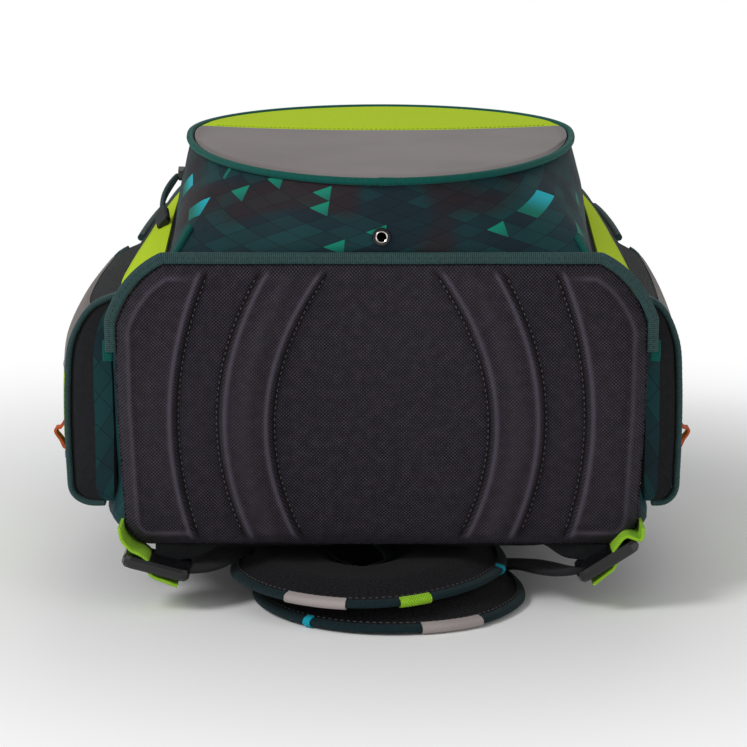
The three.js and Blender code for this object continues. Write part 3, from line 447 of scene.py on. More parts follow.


# relief=True: the base cloth takes the pad's painted highlight and painted shade into its colour
base_cloth = woven("woven base cloth", (0.0095, 0.0078, 0.0118), (0.076, 0.062, 0.086), 0.0019,
                   strength=0.8, patch=0.04, relief=True)
body_cloth = woven("charcoal body cloth", (0.007, 0.0075, 0.0085), (0.03, 0.031, 0.034), 0.0011, patch=0.1)
zip_cloth = woven("zip tape cloth", (0.005, 0.006, 0.007), (0.02, 0.024, 0.026), 0.0009, patch=0.1)
grosgrain = ribbed("grosgrain binding", (0.009, 0.028, 0.030), (0.036, 0.085, 0.084), 0.0011)
piping_cloth = ribbed("teal piping", (0.001, 0.048, 0.040), (0.003, 0.112, 0.090), 0.0009,
                      roughness=0.7, specular=0.12)
lime_cloth = ribbed("lime cloth", (0.38, 0.54, 0.010), (0.48, 0.64, 0.024), 0.0007,
                    roughness=0.85, sheen=0.0, strength=0.2, specular=0.06)
lime_web = ribbed("lime webbing", (0.17, 0.42, 0.008), (0.38, 0.68, 0.030), 0.0016, chevron=0.0032)
black_web = ribbed("black webbing", (0.004, 0.004, 0.005), (0.017, 0.016, 0.020), 0.0017, chevron=0.0034)
edge_tape = ribbed("strap edge tape", (0.003, 0.010, 0.012), (0.011, 0.030, 0.036), 0.0009, specular=0.12)
tab_cloth = ribbed("orange tab cloth", (0.36, 0.035, 0.010), (0.80, 0.16, 0.040), 0.0008, roughness=0.6)
cyan_print = ribbed("cyan print", (0.006, 0.26, 0.36), (0.010, 0.42, 0.56), 0.0009, specular=0.12)
print("woven finishes:", len(bpy.data.materials))

# %% [markdown]
# The pocket and the lid wear a printed satin cloth. The print here is a plain lattice of lozenges, with a few
# of them filled by a green to blue fade, drawn from rules: two slanted counts number the lozenges, and a fixed
# random number for each says how dark it is and whether it is filled. Another way is a painted picture, which
# would need a file and could not be scaled.

# %% Printed cloth
LOZENGE, SATIN_PITCH = (0.0217, 0.0125), 0.0009  # metres


def printed(name, accent=0.93, shade=1.0):
    """The printed cloth; the higher accent is, the fewer of its lozenges are bright."""
    f = Finish(name, 0.6, 0.0, specular=0.14)
    x, y, _ = f.apart(f.cloth())
    wide, high = f.sum("DIVIDE", x, LOZENGE[0]), f.sum("DIVIDE", y, LOZENGE[1])
    a, b = f.sum("ADD", wide, high), f.sum("SUBTRACT", wide, high)
    in_a, in_b = f.sum("FRACT", a), f.sum("FRACT", b)

    def chance(first, second, salt):
        cell = f.tree.nodes.new("ShaderNodeCombineXYZ")
        f.put(cell.inputs[0], f.sum("FLOOR", first))
        f.put(cell.inputs[1], f.sum("FLOOR", second))
        f.put(cell.inputs[2], salt)
        return f.node("ShaderNodeTexWhiteNoise", cell.outputs[0], noise_dimensions="3D")

    edge = f.sum("MINIMUM", f.sum("PINGPONG", a, 0.5), f.sum("PINGPONG", b, 0.5))
    tone = chance(a, b, 3.0)
    cloud = f.noise(f.place(), 11.0, 3)
    navy, teal, wine = ((*[c * shade for c in colour], 1) for colour in
                        ((0.0062, 0.0165, 0.0255), (0.0060, 0.042, 0.046), (0.022, 0.010, 0.012)))
    ground = f.mix(f.step(f.sum("ADD", f.sum("MULTIPLY", tone, 0.7), cloud), 0.45, 1.15), navy, teal)
    ground = f.mix(f.step(f.noise(f.place(), 17.0, 1), 0.56, 0.68, 0.0, 0.75), ground, wine)
    ground = f.mix(f.step(edge, 0.0, 0.045, 0.65, 0.0), ground, (0.003, 0.006, 0.008, 1))
    long_a = f.sum("MULTIPLY", a, 0.5)
    bar = f.sum("GREATER_THAN", chance(long_a, b, 7.0), accent - 0.004)
    half = f.sum("LESS_THAN", f.sum("ADD", in_a, in_b), 1.0)
    wedge = f.sum("MULTIPLY", f.sum("GREATER_THAN", chance(a, b, 11.0), accent + 0.028), half)
    fade = f.mix(f.step(f.sum("FRACT", long_a), 0.1, 1.0), (0.006, 0.150, 0.105, 1), (0.012, 0.43, 0.52, 1))
    green = f.mix(f.step(in_b, 0.0, 1.0), (0.004, 0.230, 0.145, 1), (0.006, 0.130, 0.105, 1))
    colour = f.mix(f.sum("MULTIPLY", bar, 0.9), ground, fade)
    colour = f.mix(f.sum("MULTIPLY", wedge, 0.9), colour, green)
    thread_x, thread_y, _ = f.apart(f.scaled(f.cloth(), 2 * math.pi / SATIN_PITCH))
    threads = f.sum("MULTIPLY", f.sum("SINE", thread_x), f.sum("SINE", thread_y))
    return f.finish(colour, threads, 0.35, 0.00015)


print_cloth = printed("printed cloth")
quiet_print = printed("printed side cloth", accent=0.985, shade=1.1)

# %% [markdown]
# The reflective panels are cloth covered with tiny glass beads: a flat grey with a fine sparkle. Spacer mesh
# is a knit with round holes over a dark foam. Both get their grain from small cells, as real dots would be far
# too many to model.

# %% Beads, mesh, plastic, rubber and metal
def beaded(name, lift=1.0):
    """Grey cloth with glass beads; lift is how much lighter than the pocket's it is, a painted reflection where it is
    above 1.
    """
    f = Finish(name, 0.6, 0.0, specular=0.15)
    plain, glowing, bead = ((*[c * lift for c in colour], 1) for colour in
                            ((0.158, 0.138, 0.133), (0.186, 0.164, 0.159), (0.30, 0.28, 0.275)))
    cells = f.tree.nodes.new("ShaderNodeTexVoronoi")
    f.put(cells.inputs["Vector"], f.place())
    f.put(cells.inputs["Scale"], 1500.0)
    glow = f.noise(f.place(), 14.0, 3)
    colour = f.mix(f.step(glow, 0.3, 0.7), plain, glowing)
    colour = f.mix(f.step(cells.outputs["Distance"], 0.0, 0.45, 0.25, 0.0), colour, bead)
    return f.finish(colour, cells.outputs["Distance"], 0.25, 0.0002)


def knitted(name, dark, light, hole):
    """Spacer mesh whose holes stand that many metres apart, in rows shifted by half a hole."""
    f = Finish(name, 0.92, 0.04, specular=0.15)
    x, y, _ = f.apart(f.scaled(f.cloth(), 1 / hole))
    shifted = f.sum("ADD", x, f.sum("MULTIPLY", f.sum("FLOOR", y), 0.5))
    dx, dy = (f.sum("SUBTRACT", f.sum("PINGPONG", v, 0.5), 0.25) for v in (shifted, y))
    round_off = f.sum("SQRT", f.sum("ADD", f.sum("MULTIPLY", dx, dx), f.sum("MULTIPLY", dy, dy)))
    knit = f.step(round_off, 0.08, 0.22)
    fuzz = f.noise(f.cloth(), 900.0, 2)
    colour = f.mix(f.sum("MULTIPLY", knit, f.step(fuzz, 0.3, 0.8)), (*dark, 1), (*light, 1))
    return f.finish(colour, knit, 0.7, 0.0005)


def moulded(name, colour, light, roughness, grain=700.0, metallic=0.0, strength=0.15):
    """Plastic, rubber or metal with a fine grain, a little duller where it is worn."""
    f = Finish(name, roughness, 0.0, metallic, specular=0.5)
    fine = f.noise(f.place(), grain, 3)
    smear = f.noise(f.place(), 40.0, 3)
    worn = f.mix(f.step(smear, 0.45, 0.8), (*colour, 1), (*light, 1))
    dulled = f.step(smear, 0.3, 0.8, roughness * 0.85, min(1.0, roughness * 1.2))
    return f.finish(worn, fine, strength, 0.0002, dulled)


reflective = beaded("reflective cloth")
# painted reflection: the straps' reflectors are the pocket's reflective cloth made 2.1 times lighter
lit_strap_reflector = beaded("lit strap reflector", 2.1)
spacer_mesh = knitted("spacer mesh", (0.004, 0.0035, 0.0045), (0.022, 0.020, 0.024), 0.0021)
plastic = moulded("black moulded plastic", (0.005, 0.005, 0.006), (0.010, 0.010, 0.012), 0.27)
rubber = moulded("black rubber", (0.006, 0.009, 0.010), (0.012, 0.018, 0.019), 0.55, 400.0)
steel = moulded("bright steel", (0.62, 0.58, 0.55), (0.45, 0.42, 0.40), 0.2, 1200.0, metallic=1.0, strength=0.05)
dark_steel = moulded("dark plated steel", (0.10, 0.10, 0.105), (0.05, 0.05, 0.055), 0.3, 1200.0, metallic=1.0)


def thread_finish(name, colour):
    """Sewing thread, darker between its twists."""
    f = Finish(name, 0.7, 0.1, specular=0.3)
    twist = f.noise(f.place(), 1800.0, 1)
    shade = f.mix(f.step(twist, 0.3, 0.7), (*[c * 0.6 for c in colour], 1), (*colour, 1))
    return f.finish(shade, twist, 0.4, 0.0002)


pale_thread = thread_finish("pale grey thread", (0.105, 0.098, 0.11))
teal_thread = thread_finish("teal thread", (0.045, 0.13, 0.12))
dark_thread = thread_finish("dark thread", (0.03, 0.034, 0.038))
lime_thread = thread_finish("lime thread", (0.30, 0.50, 0.05))
print("finishes:", len(bpy.data.materials))

# %% [markdown]
# A finished piece is handed over: it takes its finish, it rides on the one body that the bag is, and it stands
# for its plain solids, which are hidden. For a thin cloth that is sewn on, the size that it was cut to is
# measured along its own grid of points and printed.

# %% Handing a piece over
def hand_over(piece, finish, slot, *nodes):
    """Gives a piece its finish, its body and the solids that it stands for; slot is not used."""
    piece.data.materials.append(finish)
    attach(piece, "root")
    if nodes:
        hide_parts(*nodes)
    print(f"{piece.name}: {len(piece.data.polygons)} faces")
    return piece


def declare_sheet(piece, grid):
    """Prints the size that a sewn-on sheet's cloth was cut to, and its area, from its grid of points."""
    across, along = (np.linalg.norm(np.diff(grid, axis=k), axis=2).sum(k).max() / 1000 for k in (1, 0))
    a, b = grid[1:, 1:] - grid[:-1, :-1], grid[1:, :-1] - grid[:-1, 1:]
    area = 0.5 * np.linalg.norm(np.cross(a, b), axis=2).sum() / 1e6
    print(f"{piece.name}: cut {across * 1000:.0f} x {along * 1000:.0f} mm, {area * 1e4:.0f} square cm")


# %% [markdown]
# # The bag's own rules
#
# The solids were drawn from a few named sizes, and the cloth here follows the same ones. The body is a lofted
# box with soft corners that is a little wider in the middle than at its ends.

# %% Sizes of the body
WIDTH, HEIGHT = 290.0, 364.0
BACK_Z, FRONT_Z, PANEL_Z = 36.1, 193.1, 237.1
BODY_START, BODY_END = 10.3, 374.3
GAP, WALL, CHAMFER, BACK_ROUND, TAPER = 0.3, 2.2, 35.0, 15.0, 3.5
BODY_AT = (0, 0.1, 0.28, 0.5, 0.72, 0.9, 1)
BODY_LEFT = (0.5, 0.53, 0.541, 0.54, 0.532, 0.52, 0.508)
BODY_RIGHT = (0.5, 0.513, 0.526, 0.535, 0.532, 0.52, 0.508)
BODY_FRONT = (0.5, 0.505, 0.516, 0.53, 0.538, 0.53, 0.5)
FRONT_WIDTH, CORNER_BEND = 236.0, 0.42


def smooth(t):
    """A soft step from 0 to 1."""
    t = np.clip(t, 0, 1)
    return t * t * (3 - 2 * t)


def bell(distance, width):
    """1 at the place itself, falling to nothing about two widths away."""
    return np.exp(-((distance / width) ** 2))


def fine_table(ats, values):
    """A smooth curve through a table's column, worked out once."""
    curve = spline(np.stack([ats, values], 1), np.linspace(0, 1, 241))
    return lambda t: np.interp(t, curve[:, 0], curve[:, 1])


left_share, right_share, front_share = (fine_table(BODY_AT, row) for row in (BODY_LEFT, BODY_RIGHT, BODY_FRONT))


def body_size(y, off=0.0):
    """Half widths of the body at height y: left, right and front."""
    t = (y - BODY_START) / HEIGHT
    left, right, front = left_share(t) * WIDTH, right_share(t) * WIDTH, front_share(t) * FRONT_WIDTH
    return left + off, right + off, front + off * 0.35


def corner_points(y, side, t, off=0.0):
    """The body's front corner, from the front face at t = 0 to the side at t = 1."""
    left, right, front = body_size(y, off)
    half, high = (left if side < 0 else right), FRONT_Z + off
    mx = (front + half) / 2 * (1 - CORNER_BEND) + half * CORNER_BEND
    mz = (high - CHAMFER / 2) * (1 - CORNER_BEND) + high * CORNER_BEND
    x = (1 - t) ** 2 * front + 2 * t * (1 - t) * mx + t * t * half
    z = (1 - t) ** 2 * high + 2 * t * (1 - t) * mz + t * t * (high - CHAMFER)
    return np.stack([side * x, y + 0 * x, z], -1)


def half_section(y, side, off):
    """Half of the body's outline, from its back to its front."""
    left, right, _ = body_size(y, off)
    half, r = (left if side < 0 else right), BACK_ROUND + off
    a = np.radians(np.linspace(0, 90, 10))
    back = np.stack([side * (half - TAPER - r + r * np.sin(a)), y + 0 * a, BACK_Z - off + r - r * np.cos(a)], 1)
    waist = np.array([[side * (half - 0.4), y, (BACK_Z + FRONT_Z) / 2]])
    return np.concatenate([back, waist, corner_points(y, side, np.linspace(1, 0, 16), off)])


def body_section(y, off=0.0, count=320):
    """The body's outline at height y, from the middle of its back round by the right side."""
    back, front = [[0.0, y, BACK_Z - off]], [[0.0, y, FRONT_Z + off]]
    ring = np.concatenate([back, half_section(y, 1, off), front, half_section(y, -1, off)[::-1]])
    return resample(ring, count)


print("body half widths at mid height:", [round(float(v), 1) for v in body_size(192.0)])

# %% [markdown]
# **Body.** On the real bag this is stiffened cloth over a light board frame, open under the lid. A cloth
# simulation would barely move it, so it is lofted with a slight unevenness, with its inner wall 2.2 mm inside.
# The sides wear the printed cloth and the rest is charcoal, which is a choice of material face by face.

# %% Body
def paint(piece, finish, rule):
    """Gives a second finish to the faces whose centre, in drawing millimetres, obeys the rule."""
    piece.data.materials.append(finish)
    for face in piece.data.polygons:
        x, y, z = (np.array(face.center) - ORIGIN) * 1000
        if rule(x, y, z):
            face.material_index = 1


def paint_map(piece, finish, rule):
    """Gives a second finish by a face's place on the cloth's own map, in metres."""
    piece.data.materials.append(finish)
    spots = piece.data.uv_layers["cloth"].data
    for face in piece.data.polygons:
        if rule(*np.mean([spots[k].uv for k in face.loop_indices], 0)):
            face.material_index = 1


def dent(rings, seed, size, amount):
    """Lets cloth sink by up to amount from its outline, never out of it."""
    middle = rings.mean(1, keepdims=True)
    return rings - unit(rings - middle) * (amount * 0.5 * (1 + np.clip(ripple(rings, seed, size), -1, 1)))[..., None]


PUFF, PUFF_AT, PUFF_REACH = 6.0, 49.0, 11.0  # the lower corner's swell beside the base, its height and its reach
PRINT_FROM, PRINT_LOW, PRINT_HIGH = 128, 42, 159
levels = np.linspace(BODY_START, BODY_END, 96)
outside = dent(np.stack([body_section(y) for y in levels]), 4, 70.0, 0.9)
puff = PUFF * bell(outside[..., 2] - PUFF_AT, PUFF_REACH) * smooth((outside[..., 1] - BODY_START) / 7.0)
puff *= (1 - smooth((outside[..., 1] - 30) / 60)) * smooth((np.abs(outside[..., 0]) - 120) / 15)
outside[..., 0] += np.sign(outside[..., 0]) * puff
inside = np.stack([body_section(y, -WALL) for y in levels])
inside[0, :, 1] += WALL
body = hand_over(loft("body", np.concatenate([outside, inside[::-1]])), body_cloth, "body_textile", "body_shell")
paint(body, quiet_print,
      lambda x, y, z: abs(x) > PRINT_FROM and PRINT_LOW < z < PRINT_HIGH and y > BODY_START + 0.1)

# %% [markdown]
# **Corner piping.** A thin cord in a cloth tube covers the seam between the body's front and side, above the
# side pockets. It is a round section swept along the corner.

# %% Corner piping
def circle(count):
    """A round section of radius 1."""
    a = np.linspace(0, 2 * np.pi, count + 1)[:-1]
    return np.stack([np.cos(a), np.sin(a)], 1)


CIRCLE, PIPE = circle(12), circle(16)


def join(name, pieces):
    """One object from several, keeping each one's map."""
    first = pieces[0]
    with bpy.context.temp_override(active_object=first, selected_editable_objects=pieces):
        bpy.ops.object.join()
    first.name = first.data.name = name
    return first


def corner_cord(side):
    """The cord along one corner, from above the side pocket to below the lid."""
    line = np.array([corner_points(y, side, 0.62, 0.9) for y in np.linspace(209, 344, 60)])
    return loft("cord", sweep_rings(line, (side * 0.7, 0, 0.7), CIRCLE * 2.2))


hand_over(join("corner_piping", [corner_cord(-1), corner_cord(1)]), grosgrain, "grosgrain")

# %% [markdown]
# **Base pad.** The real base is foam under a heavy weave, sewn down along curved channels, so strips of it stand
# proud between lower strips. Its whole character is in that relief. A simulation with pinned seams could puff
# it, but the channels here have one steep and one soft side, so the face is a fine grid whose depth is worked
# out point by point: a rolled rim, raised strips, and a sewn dip at the foot of each step.

# %% Base pad
# how far each sewn line stands from the middle at its top, middle and foot, whether the raised strip is outside it
# (1) or inside it (-1), and the strip's width, where it falls back before the pad's edge
CHANNELS = [
    {"top": 94.5, "middle": 111.0, "foot": 100.6, "raised": 1, "strip": 0},
    {"top": 67.0, "middle": 90.0, "foot": 76.0, "raised": -1, "strip": 0},
    {"top": 29.6, "middle": 58.0, "foot": 43.0, "raised": 1, "strip": 17.0},
]
CHANNEL_MIDDLE, CHANNEL_REACH = 114.6, 73.0
PAD_THICK, RIM_ROLL, RIM_DEPTH, PAD_LEVEL = 10.0, 10.5, 6.2, 3.6
STEP, STEP_SIDE, STEP_BACK = 2.4, 4.0, 9.0  # a step's height, and how far its steep and its soft side run
RIDGE, RIDGE_AT, DIP, DIP_AT = 0.9, 4.4, 1.5, 0.9  # the ridge and the sewn dip beside it, and where they stand
FALL, FALL_AT = 2.3, 16.0
PAD_ROWS, PAD_COLUMNS, PAD_SPREAD = 150, 300, 0.62


def channel_x(row, z):
    """How far from the middle a sewn line stands at height z."""
    t = (z - CHANNEL_MIDDLE) / CHANNEL_REACH
    lean, bow = (row["top"] - row["foot"]) / 2, (row["top"] + row["foot"]) / 2 - row["middle"]
    return row["middle"] + lean * t + bow * t * t


def pad_relief(x, z):
    """How far the pad's face stands proud of its lowest strips, in mm, and its painted highlight and painted shade
    there.
    """
    rise, mark = np.zeros_like(x), np.zeros_like(x)
    for row in CHANNELS:
        near = (np.abs(x) - channel_x(row, z)) * row["raised"]
        back = smooth((near - row["strip"]) / STEP_BACK) if row["strip"] else 0.0
        rise += STEP * smooth((near + 0.2) / STEP_SIDE) * (1 - back)
        ridge, dip = bell(near - RIDGE_AT, 1.5), bell(near - DIP_AT, 1.7)
        rise += RIDGE * ridge - DIP * dip
        # painted highlight on each ridge and on the raised strip beside it, painted shade in each sewn dip
        mark += 0.9 * ridge - 0.8 * dip + 0.15 * smooth((near - 2.0) / 4.0) * (1 - smooth((near - 16.0) / 10.0))
        # painted shade on the low strip at the foot of each step
        mark -= 0.2 * smooth((-near - 0.5) / 2.0) * (1 - smooth((-near - 3.0) / 12.0))
        if row["raised"] < 0:
            rise -= FALL * smooth((near - FALL_AT) / STEP_BACK)
    return rise, mark


print("channels:", 2 * len(CHANNELS))

# %% [markdown]
# The face is a grid of points inside the body's outline, closer together towards its edges, where the rim rolls
# over. Its depth is the sum of the roll, the relief, a slight crown and some unevenness. Two more rings of
# points and one flat face close the pad behind. Painted highlight on ridges, border and raised strips, and
# painted shade in sewn dips, trench and low strips, are kept as an attribute for the finish to paint in.

# %% Pad from a grid
outline = body_section(BODY_START, 0.0, 900)
z_rows = BACK_Z + (FRONT_Z - BACK_Z) * (0.5 - 0.5 * np.cos(np.linspace(0, np.pi, PAD_ROWS)) * 0.999)
right_edge = outline[outline[:, 0] > 0]
right_edge = right_edge[np.argsort(right_edge[:, 2])]
half_at = np.interp(z_rows, right_edge[:, 2], right_edge[:, 0])
half_at[0], half_at[-1] = half_at[1] - 6.5, half_at[-2] - 1.0
shares = np.sin(np.linspace(-np.pi / 2, np.pi / 2, PAD_COLUMNS) * PAD_SPREAD) / math.sin(PAD_SPREAD * np.pi / 2)
grid_x, grid_z = half_at[:, None] * shares, np.repeat(z_rows[:, None], PAD_COLUMNS, 1)
flat = outline[:, [0, 2]]
rim_distance = np.min([np.hypot(grid_x - px, grid_z - pz) for px, pz in flat[::3]], 0)
roll = RIM_DEPTH * (1 - np.sqrt(1 - np.clip(1 - rim_distance / RIM_ROLL, 0, 1) ** 2))
inner = smooth((rim_distance - 1.0) / 6.5)
crown = 0.5 * smooth(rim_distance / 60.0)
soft = 0.25 * ripple(np.stack([grid_x, 0 * grid_x, grid_z], -1), 21, 55.0)
relief, mark = pad_relief(grid_x, grid_z)
at_side = smooth((np.abs(grid_x) - 96.0) / 22.0)
border, trench = (at_side * bell(rim_distance - d, w) for d, w in ((7.4, 1.7), (10.4, 1.6)))
grid_y = PAD_LEVEL + roll - inner * (relief + crown + soft) - 0.8 * border + 0.4 * trench
# painted highlight along the side border and painted shade in the trench beside it
mark = inner * mark + 0.6 * border - 0.3 * trench
pad_face = np.stack([grid_x, grid_y, grid_z], -1)
rows, cols = grid_x.shape
loop = [(0, j) for j in range(cols)] + [(i, cols - 1) for i in range(1, rows)]
loop += [(rows - 1, j) for j in range(cols - 2, -1, -1)] + [(i, 0) for i in range(rows - 2, 0, -1)]
rim = np.array([pad_face[i, j] for i, j in loop])
index = np.arange(rows * cols).reshape(rows, cols)
r, c = np.meshgrid(np.arange(rows - 1), np.arange(cols - 1), indexing="ij")
pad_faces = np.stack([index[r, c], index[r, c + 1], index[r + 1, c + 1], index[r + 1, c]], -1).reshape(-1, 4).tolist()
rim_ids = [int(index[i, j]) for i, j in loop]
pad_points = [pad_face.reshape(-1, 3)]
count = rows * cols
for y, off in ((PAD_THICK - 2.2, 0.5), (PAD_THICK, 0.0)):
    wall = rim.copy()
    wall[:, 1] = y
    wall[:, [0, 2]] += off * unit(rim[:, [0, 2]] - rim[:, [0, 2]].mean(0))
    pad_points.append(wall)
    ids = list(range(count, count + len(loop)))
    count += len(loop)
    turn = [(k, (k + 1) % len(loop)) for k in range(len(loop))]
    pad_faces += [[rim_ids[k], rim_ids[n], ids[n], ids[k]] for k, n in turn]
    rim_ids = ids
pad_faces.append(rim_ids)
pad_points = np.concatenate(pad_points)
pad_uv = np.concatenate([pad_points[f][:, [0, 2]] / 1000 for f in pad_faces])
base_cushion = mesh_object("base_cushion", pad_points, pad_faces, pad_uv, smooth_angle=70)
# the attribute named relief holds the painted highlight and painted shade, not the pad's shape
painted_shading_layer = base_cushion.data.attributes.new("relief", "FLOAT", "POINT")
painted_shading_values = np.concatenate([mark.ravel(), np.zeros(len(pad_points) - mark.size)])
painted_shading_layer.data.foreach_set("value", painted_shading_values.astype(np.float32))
hand_over(base_cushion, base_cloth, "base_textile", "base_pad")
print("relief of the pad's face, mm:", round(float(grid_y.min()), 1), "to", round(float(grid_y.max()), 1))

# %% [markdown]
# # Stitches and teeth
#
# Stitches, zip teeth and ribs are one small shape repeated along a line. An array that follows a curve could do
# it, but Geometry Nodes lets one tree serve every seam: lines go in, points are set at an even pitch, a small
# bead or block is put on each, turned along the line and out of the cloth, and the result is made real.

# %% The repeat tree
def repeat_tree():
    """The one node tree that sets a bead or a block along lines."""
    tree = bpy.data.node_groups.new("repeat along lines", "GeometryNodeTree")
    face = tree.interface
    face.new_socket("Geometry", in_out="INPUT", socket_type="NodeSocketGeometry")
    for label, kind in (("Pitch", "NodeSocketFloat"), ("Size", "NodeSocketVector"), ("Block", "NodeSocketBool"),
                        ("Finish", "NodeSocketMaterial")):
        face.new_socket(label, in_out="INPUT", socket_type=kind)
    face.new_socket("Geometry", in_out="OUTPUT", socket_type="NodeSocketGeometry")
    add = lambda kind: tree.nodes.new(kind)
    start, end = add("NodeGroupInput"), add("NodeGroupOutput")
    curve, even = add("GeometryNodeMeshToCurve"), add("GeometryNodeResampleCurve")
    even.mode = "LENGTH"
    tangent, out = add("GeometryNodeInputTangent"), add("GeometryNodeInputNamedAttribute")
    out.data_type = "FLOAT_VECTOR"
    set_input(out, "Name", "out")
    along, up = add("FunctionNodeAlignRotationToVector"), add("FunctionNodeAlignRotationToVector")
    along.axis, up.axis, up.pivot_axis = "X", "Z", "X"
    bead, block, pick = add("GeometryNodeMeshIcoSphere"), add("GeometryNodeMeshCube"), add("GeometryNodeSwitch")
    pick.input_type = "GEOMETRY"
    set_input(bead, "Radius", 0.5)
    set_input(bead, "Subdivisions", 1)
    set_input(block, "Size", (1, 1, 1))
    put, real = add("GeometryNodeInstanceOnPoints"), add("GeometryNodeRealizeInstances")
    dress = add("GeometryNodeSetMaterial")
    for a, b in ((start.outputs["Geometry"], curve.inputs["Mesh"]), (curve.outputs["Curve"], even.inputs["Curve"]),
                 (start.outputs["Pitch"], even.inputs["Length"]), (even.outputs["Curve"], put.inputs["Points"]),
                 (tangent.outputs[0], along.inputs["Vector"]), (along.outputs[0], up.inputs["Rotation"]),
                 (out.outputs["Attribute"], up.inputs["Vector"]), (up.outputs[0], put.inputs["Rotation"]),
                 (start.outputs["Size"], put.inputs["Scale"]), (start.outputs["Block"], pick.inputs["Switch"]),
                 (bead.outputs["Mesh"], pick.inputs["False"]), (block.outputs["Mesh"], pick.inputs["True"]),
                 (pick.outputs[0], put.inputs["Instance"]), (put.outputs[0], real.inputs[0]),
                 (real.outputs[0], dress.inputs["Geometry"]), (start.outputs["Finish"], dress.inputs["Material"]),
                 (dress.outputs[0], end.inputs["Geometry"])):
        tree.links.new(a, b)
    return tree


REPEAT = repeat_tree()


def repeat(name, lines, pitch, size, finish, block=False):
    """Beads or blocks along lines; each line is (points, out direction or directions), in drawing millimetres."""
    mesh = bpy.data.meshes.new(name)
    points, edges, outs = [], [], []
    for line, out in lines:
        first = len(points)
        points += (np.asarray(line) / 1000 + ORIGIN).tolist()
        outs += np.broadcast_to(np.asarray(out, float), (len(line), 3)).tolist()
        edges += [(k, k + 1) for k in range(first, len(points) - 1)]
    mesh.from_pydata(points, edges, [])
    mesh.attributes.new("out", "FLOAT_VECTOR", "POINT").data.foreach_set("vector", np.ravel(outs))
    seed = bpy.data.objects.new(name, mesh)
    bpy.context.scene.collection.objects.link(seed)
    made = seed.modifiers.new("repeat", "NODES")
    made.node_group = REPEAT
    values = {"Pitch": pitch / 1000, "Size": [v / 1000 for v in size], "Block": block, "Finish": finish}
    for item in REPEAT.interface.items_tree:
        if item.in_out == "INPUT" and item.name in values:
            made[item.identifier] = values[item.name]
    bpy.context.view_layer.update()
    result = bpy.data.meshes.new_from_object(seed.evaluated_get(bpy.context.evaluated_depsgraph_get()))
    seed.modifiers.remove(made)
    seed.data = result
    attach(seed, "root")
    print(f"{name}: {len(result.polygons)} faces")
    return seed


def pad_surface(x, z):
    """The pad's face at a place, for what is sewn on it."""
    near = np.argmin((grid_x - x) ** 2 + (grid_z - z) ** 2)
    return grid_y.ravel()[near]


SEAM_LOW, SEAM_HIGH = 47, 184
channel_lines = []
for row in CHANNELS:
    for side in (-1, 1):
        zs = np.linspace(SEAM_LOW, SEAM_HIGH, 90)
        xs = side * channel_x(row, zs)
        ys = np.array([pad_surface(x, z) for x, z in zip(xs, zs)]) - 0.25
        channel_lines.append((np.stack([xs, ys, zs], 1), (0, -1, 0)))
repeat("channel_stitches", channel_lines, 3.3, (2.0, 0.75, 0.6), pale_thread)

# %% [markdown]
# **Base binding.** A folded ribbon of grosgrain closes the seam between the base and the rest of the bag, over
# its front and upper corners. It is a domed section swept along the base's outline, and sewn through its middle.

# %% Base binding
REACH_LOW = BACK_Z + 108.0
# the ribbon's section: across it from the seam outwards, and out of the base's face
RIBBON = [(-3.9, 1.5), (-3.1, 1.1), (-3.0, -1.2), (1.7, -1.2), (2.0, -0.2), (1.9, 0.8), (1.2, 1.6), (0.2, 2.0),
          (-1.2, 2.3), (-2.6, 2.5), (-3.8, 2.4), (-4.2, 1.9)]
base_line = body_section(BODY_START, 4.2, 1400)
base_line[:, 1] = PAD_THICK - 1.5
upper = base_line[base_line[:, 2] > REACH_LOW]
binding_line = resample(upper, 420, closed=False)
binding_line[:, 1] += 0.25 * ripple(binding_line, 8, 60.0)
heading = unit(np.gradient(binding_line, axis=0))
outward = unit(np.stack([-heading[:, 2], 0 * heading[:, 0], heading[:, 0]], 1))
outward *= np.sign(np.sum(outward * (binding_line - [0, 0, (BACK_Z + FRONT_Z) / 2]), 1))[:, None]
ribbon_rings = np.stack([binding_line + outward * s - np.array([0, h, 0]) for s, h in RIBBON], 1)
binding = loft("base_binding_ribbon", ribbon_rings)
hand_over(binding, grosgrain, "grosgrain", "base_binding")
seam = binding_line - outward * 0.8 - np.array([0, 2.25, 0])
repeat("binding_stitches", [(seam, (0, -1, 0))], 2.9, (1.9, 0.6, 0.55), dark_thread)
end_tabs = []
for side in (-1, 1):
    far_side = np.sign(binding_line[:, 0]) != side
    foot = binding_line[np.argmin(np.abs(binding_line[:, 2] - REACH_LOW) + 1e3 * far_side)]
    line = foot + np.array([[side * 0.5, 0.8, 6.0], [side * 0.8, 0.9, 0.0], [side * 0.6, 1.2, -5.5]])
    tab_rings = sweep_rings(spline(line, np.linspace(0, 1, 12)), (0, -1, 0), rounded_rect(5.4, 1.6, 0.7))
    end_tabs.append(loft("tab", tab_rings))
hand_over(join("binding_ends", end_tabs), piping_cloth, "teal_piping")

# %% [markdown]
# # Front pocket
#
# The pocket is a wall, or gusset, that rises from the body's front to an egg-shaped panel with a piped rim. Its
# wall leans in at the sides, so each point of its foot rises to a point of the rim given by an angle.

# %% Rules of the front pocket
POCKET_LENGTH, PANEL_HALF, PANEL_FOOT, PANEL_TILT, BELLY, POCKET_DEPTH = 305.0, 115.5, 14.0, 9.0, 1.6, 44.0
SHOULDER, CROWN, WIDEST, ROUNDNESS, FOOT_INSET = 50, 8, 0.63, 0.6, 1.5
PANEL_MID = PANEL_FOOT + (POCKET_LENGTH - PANEL_FOOT) * WIDEST
PIPING_RADIUS, RIM_TUCK, PANEL_THICK = 2.1, 0.35, 2.2
CORNER_ANGLE, SHOULDER_ANGLE = math.radians(-42), math.radians(38)


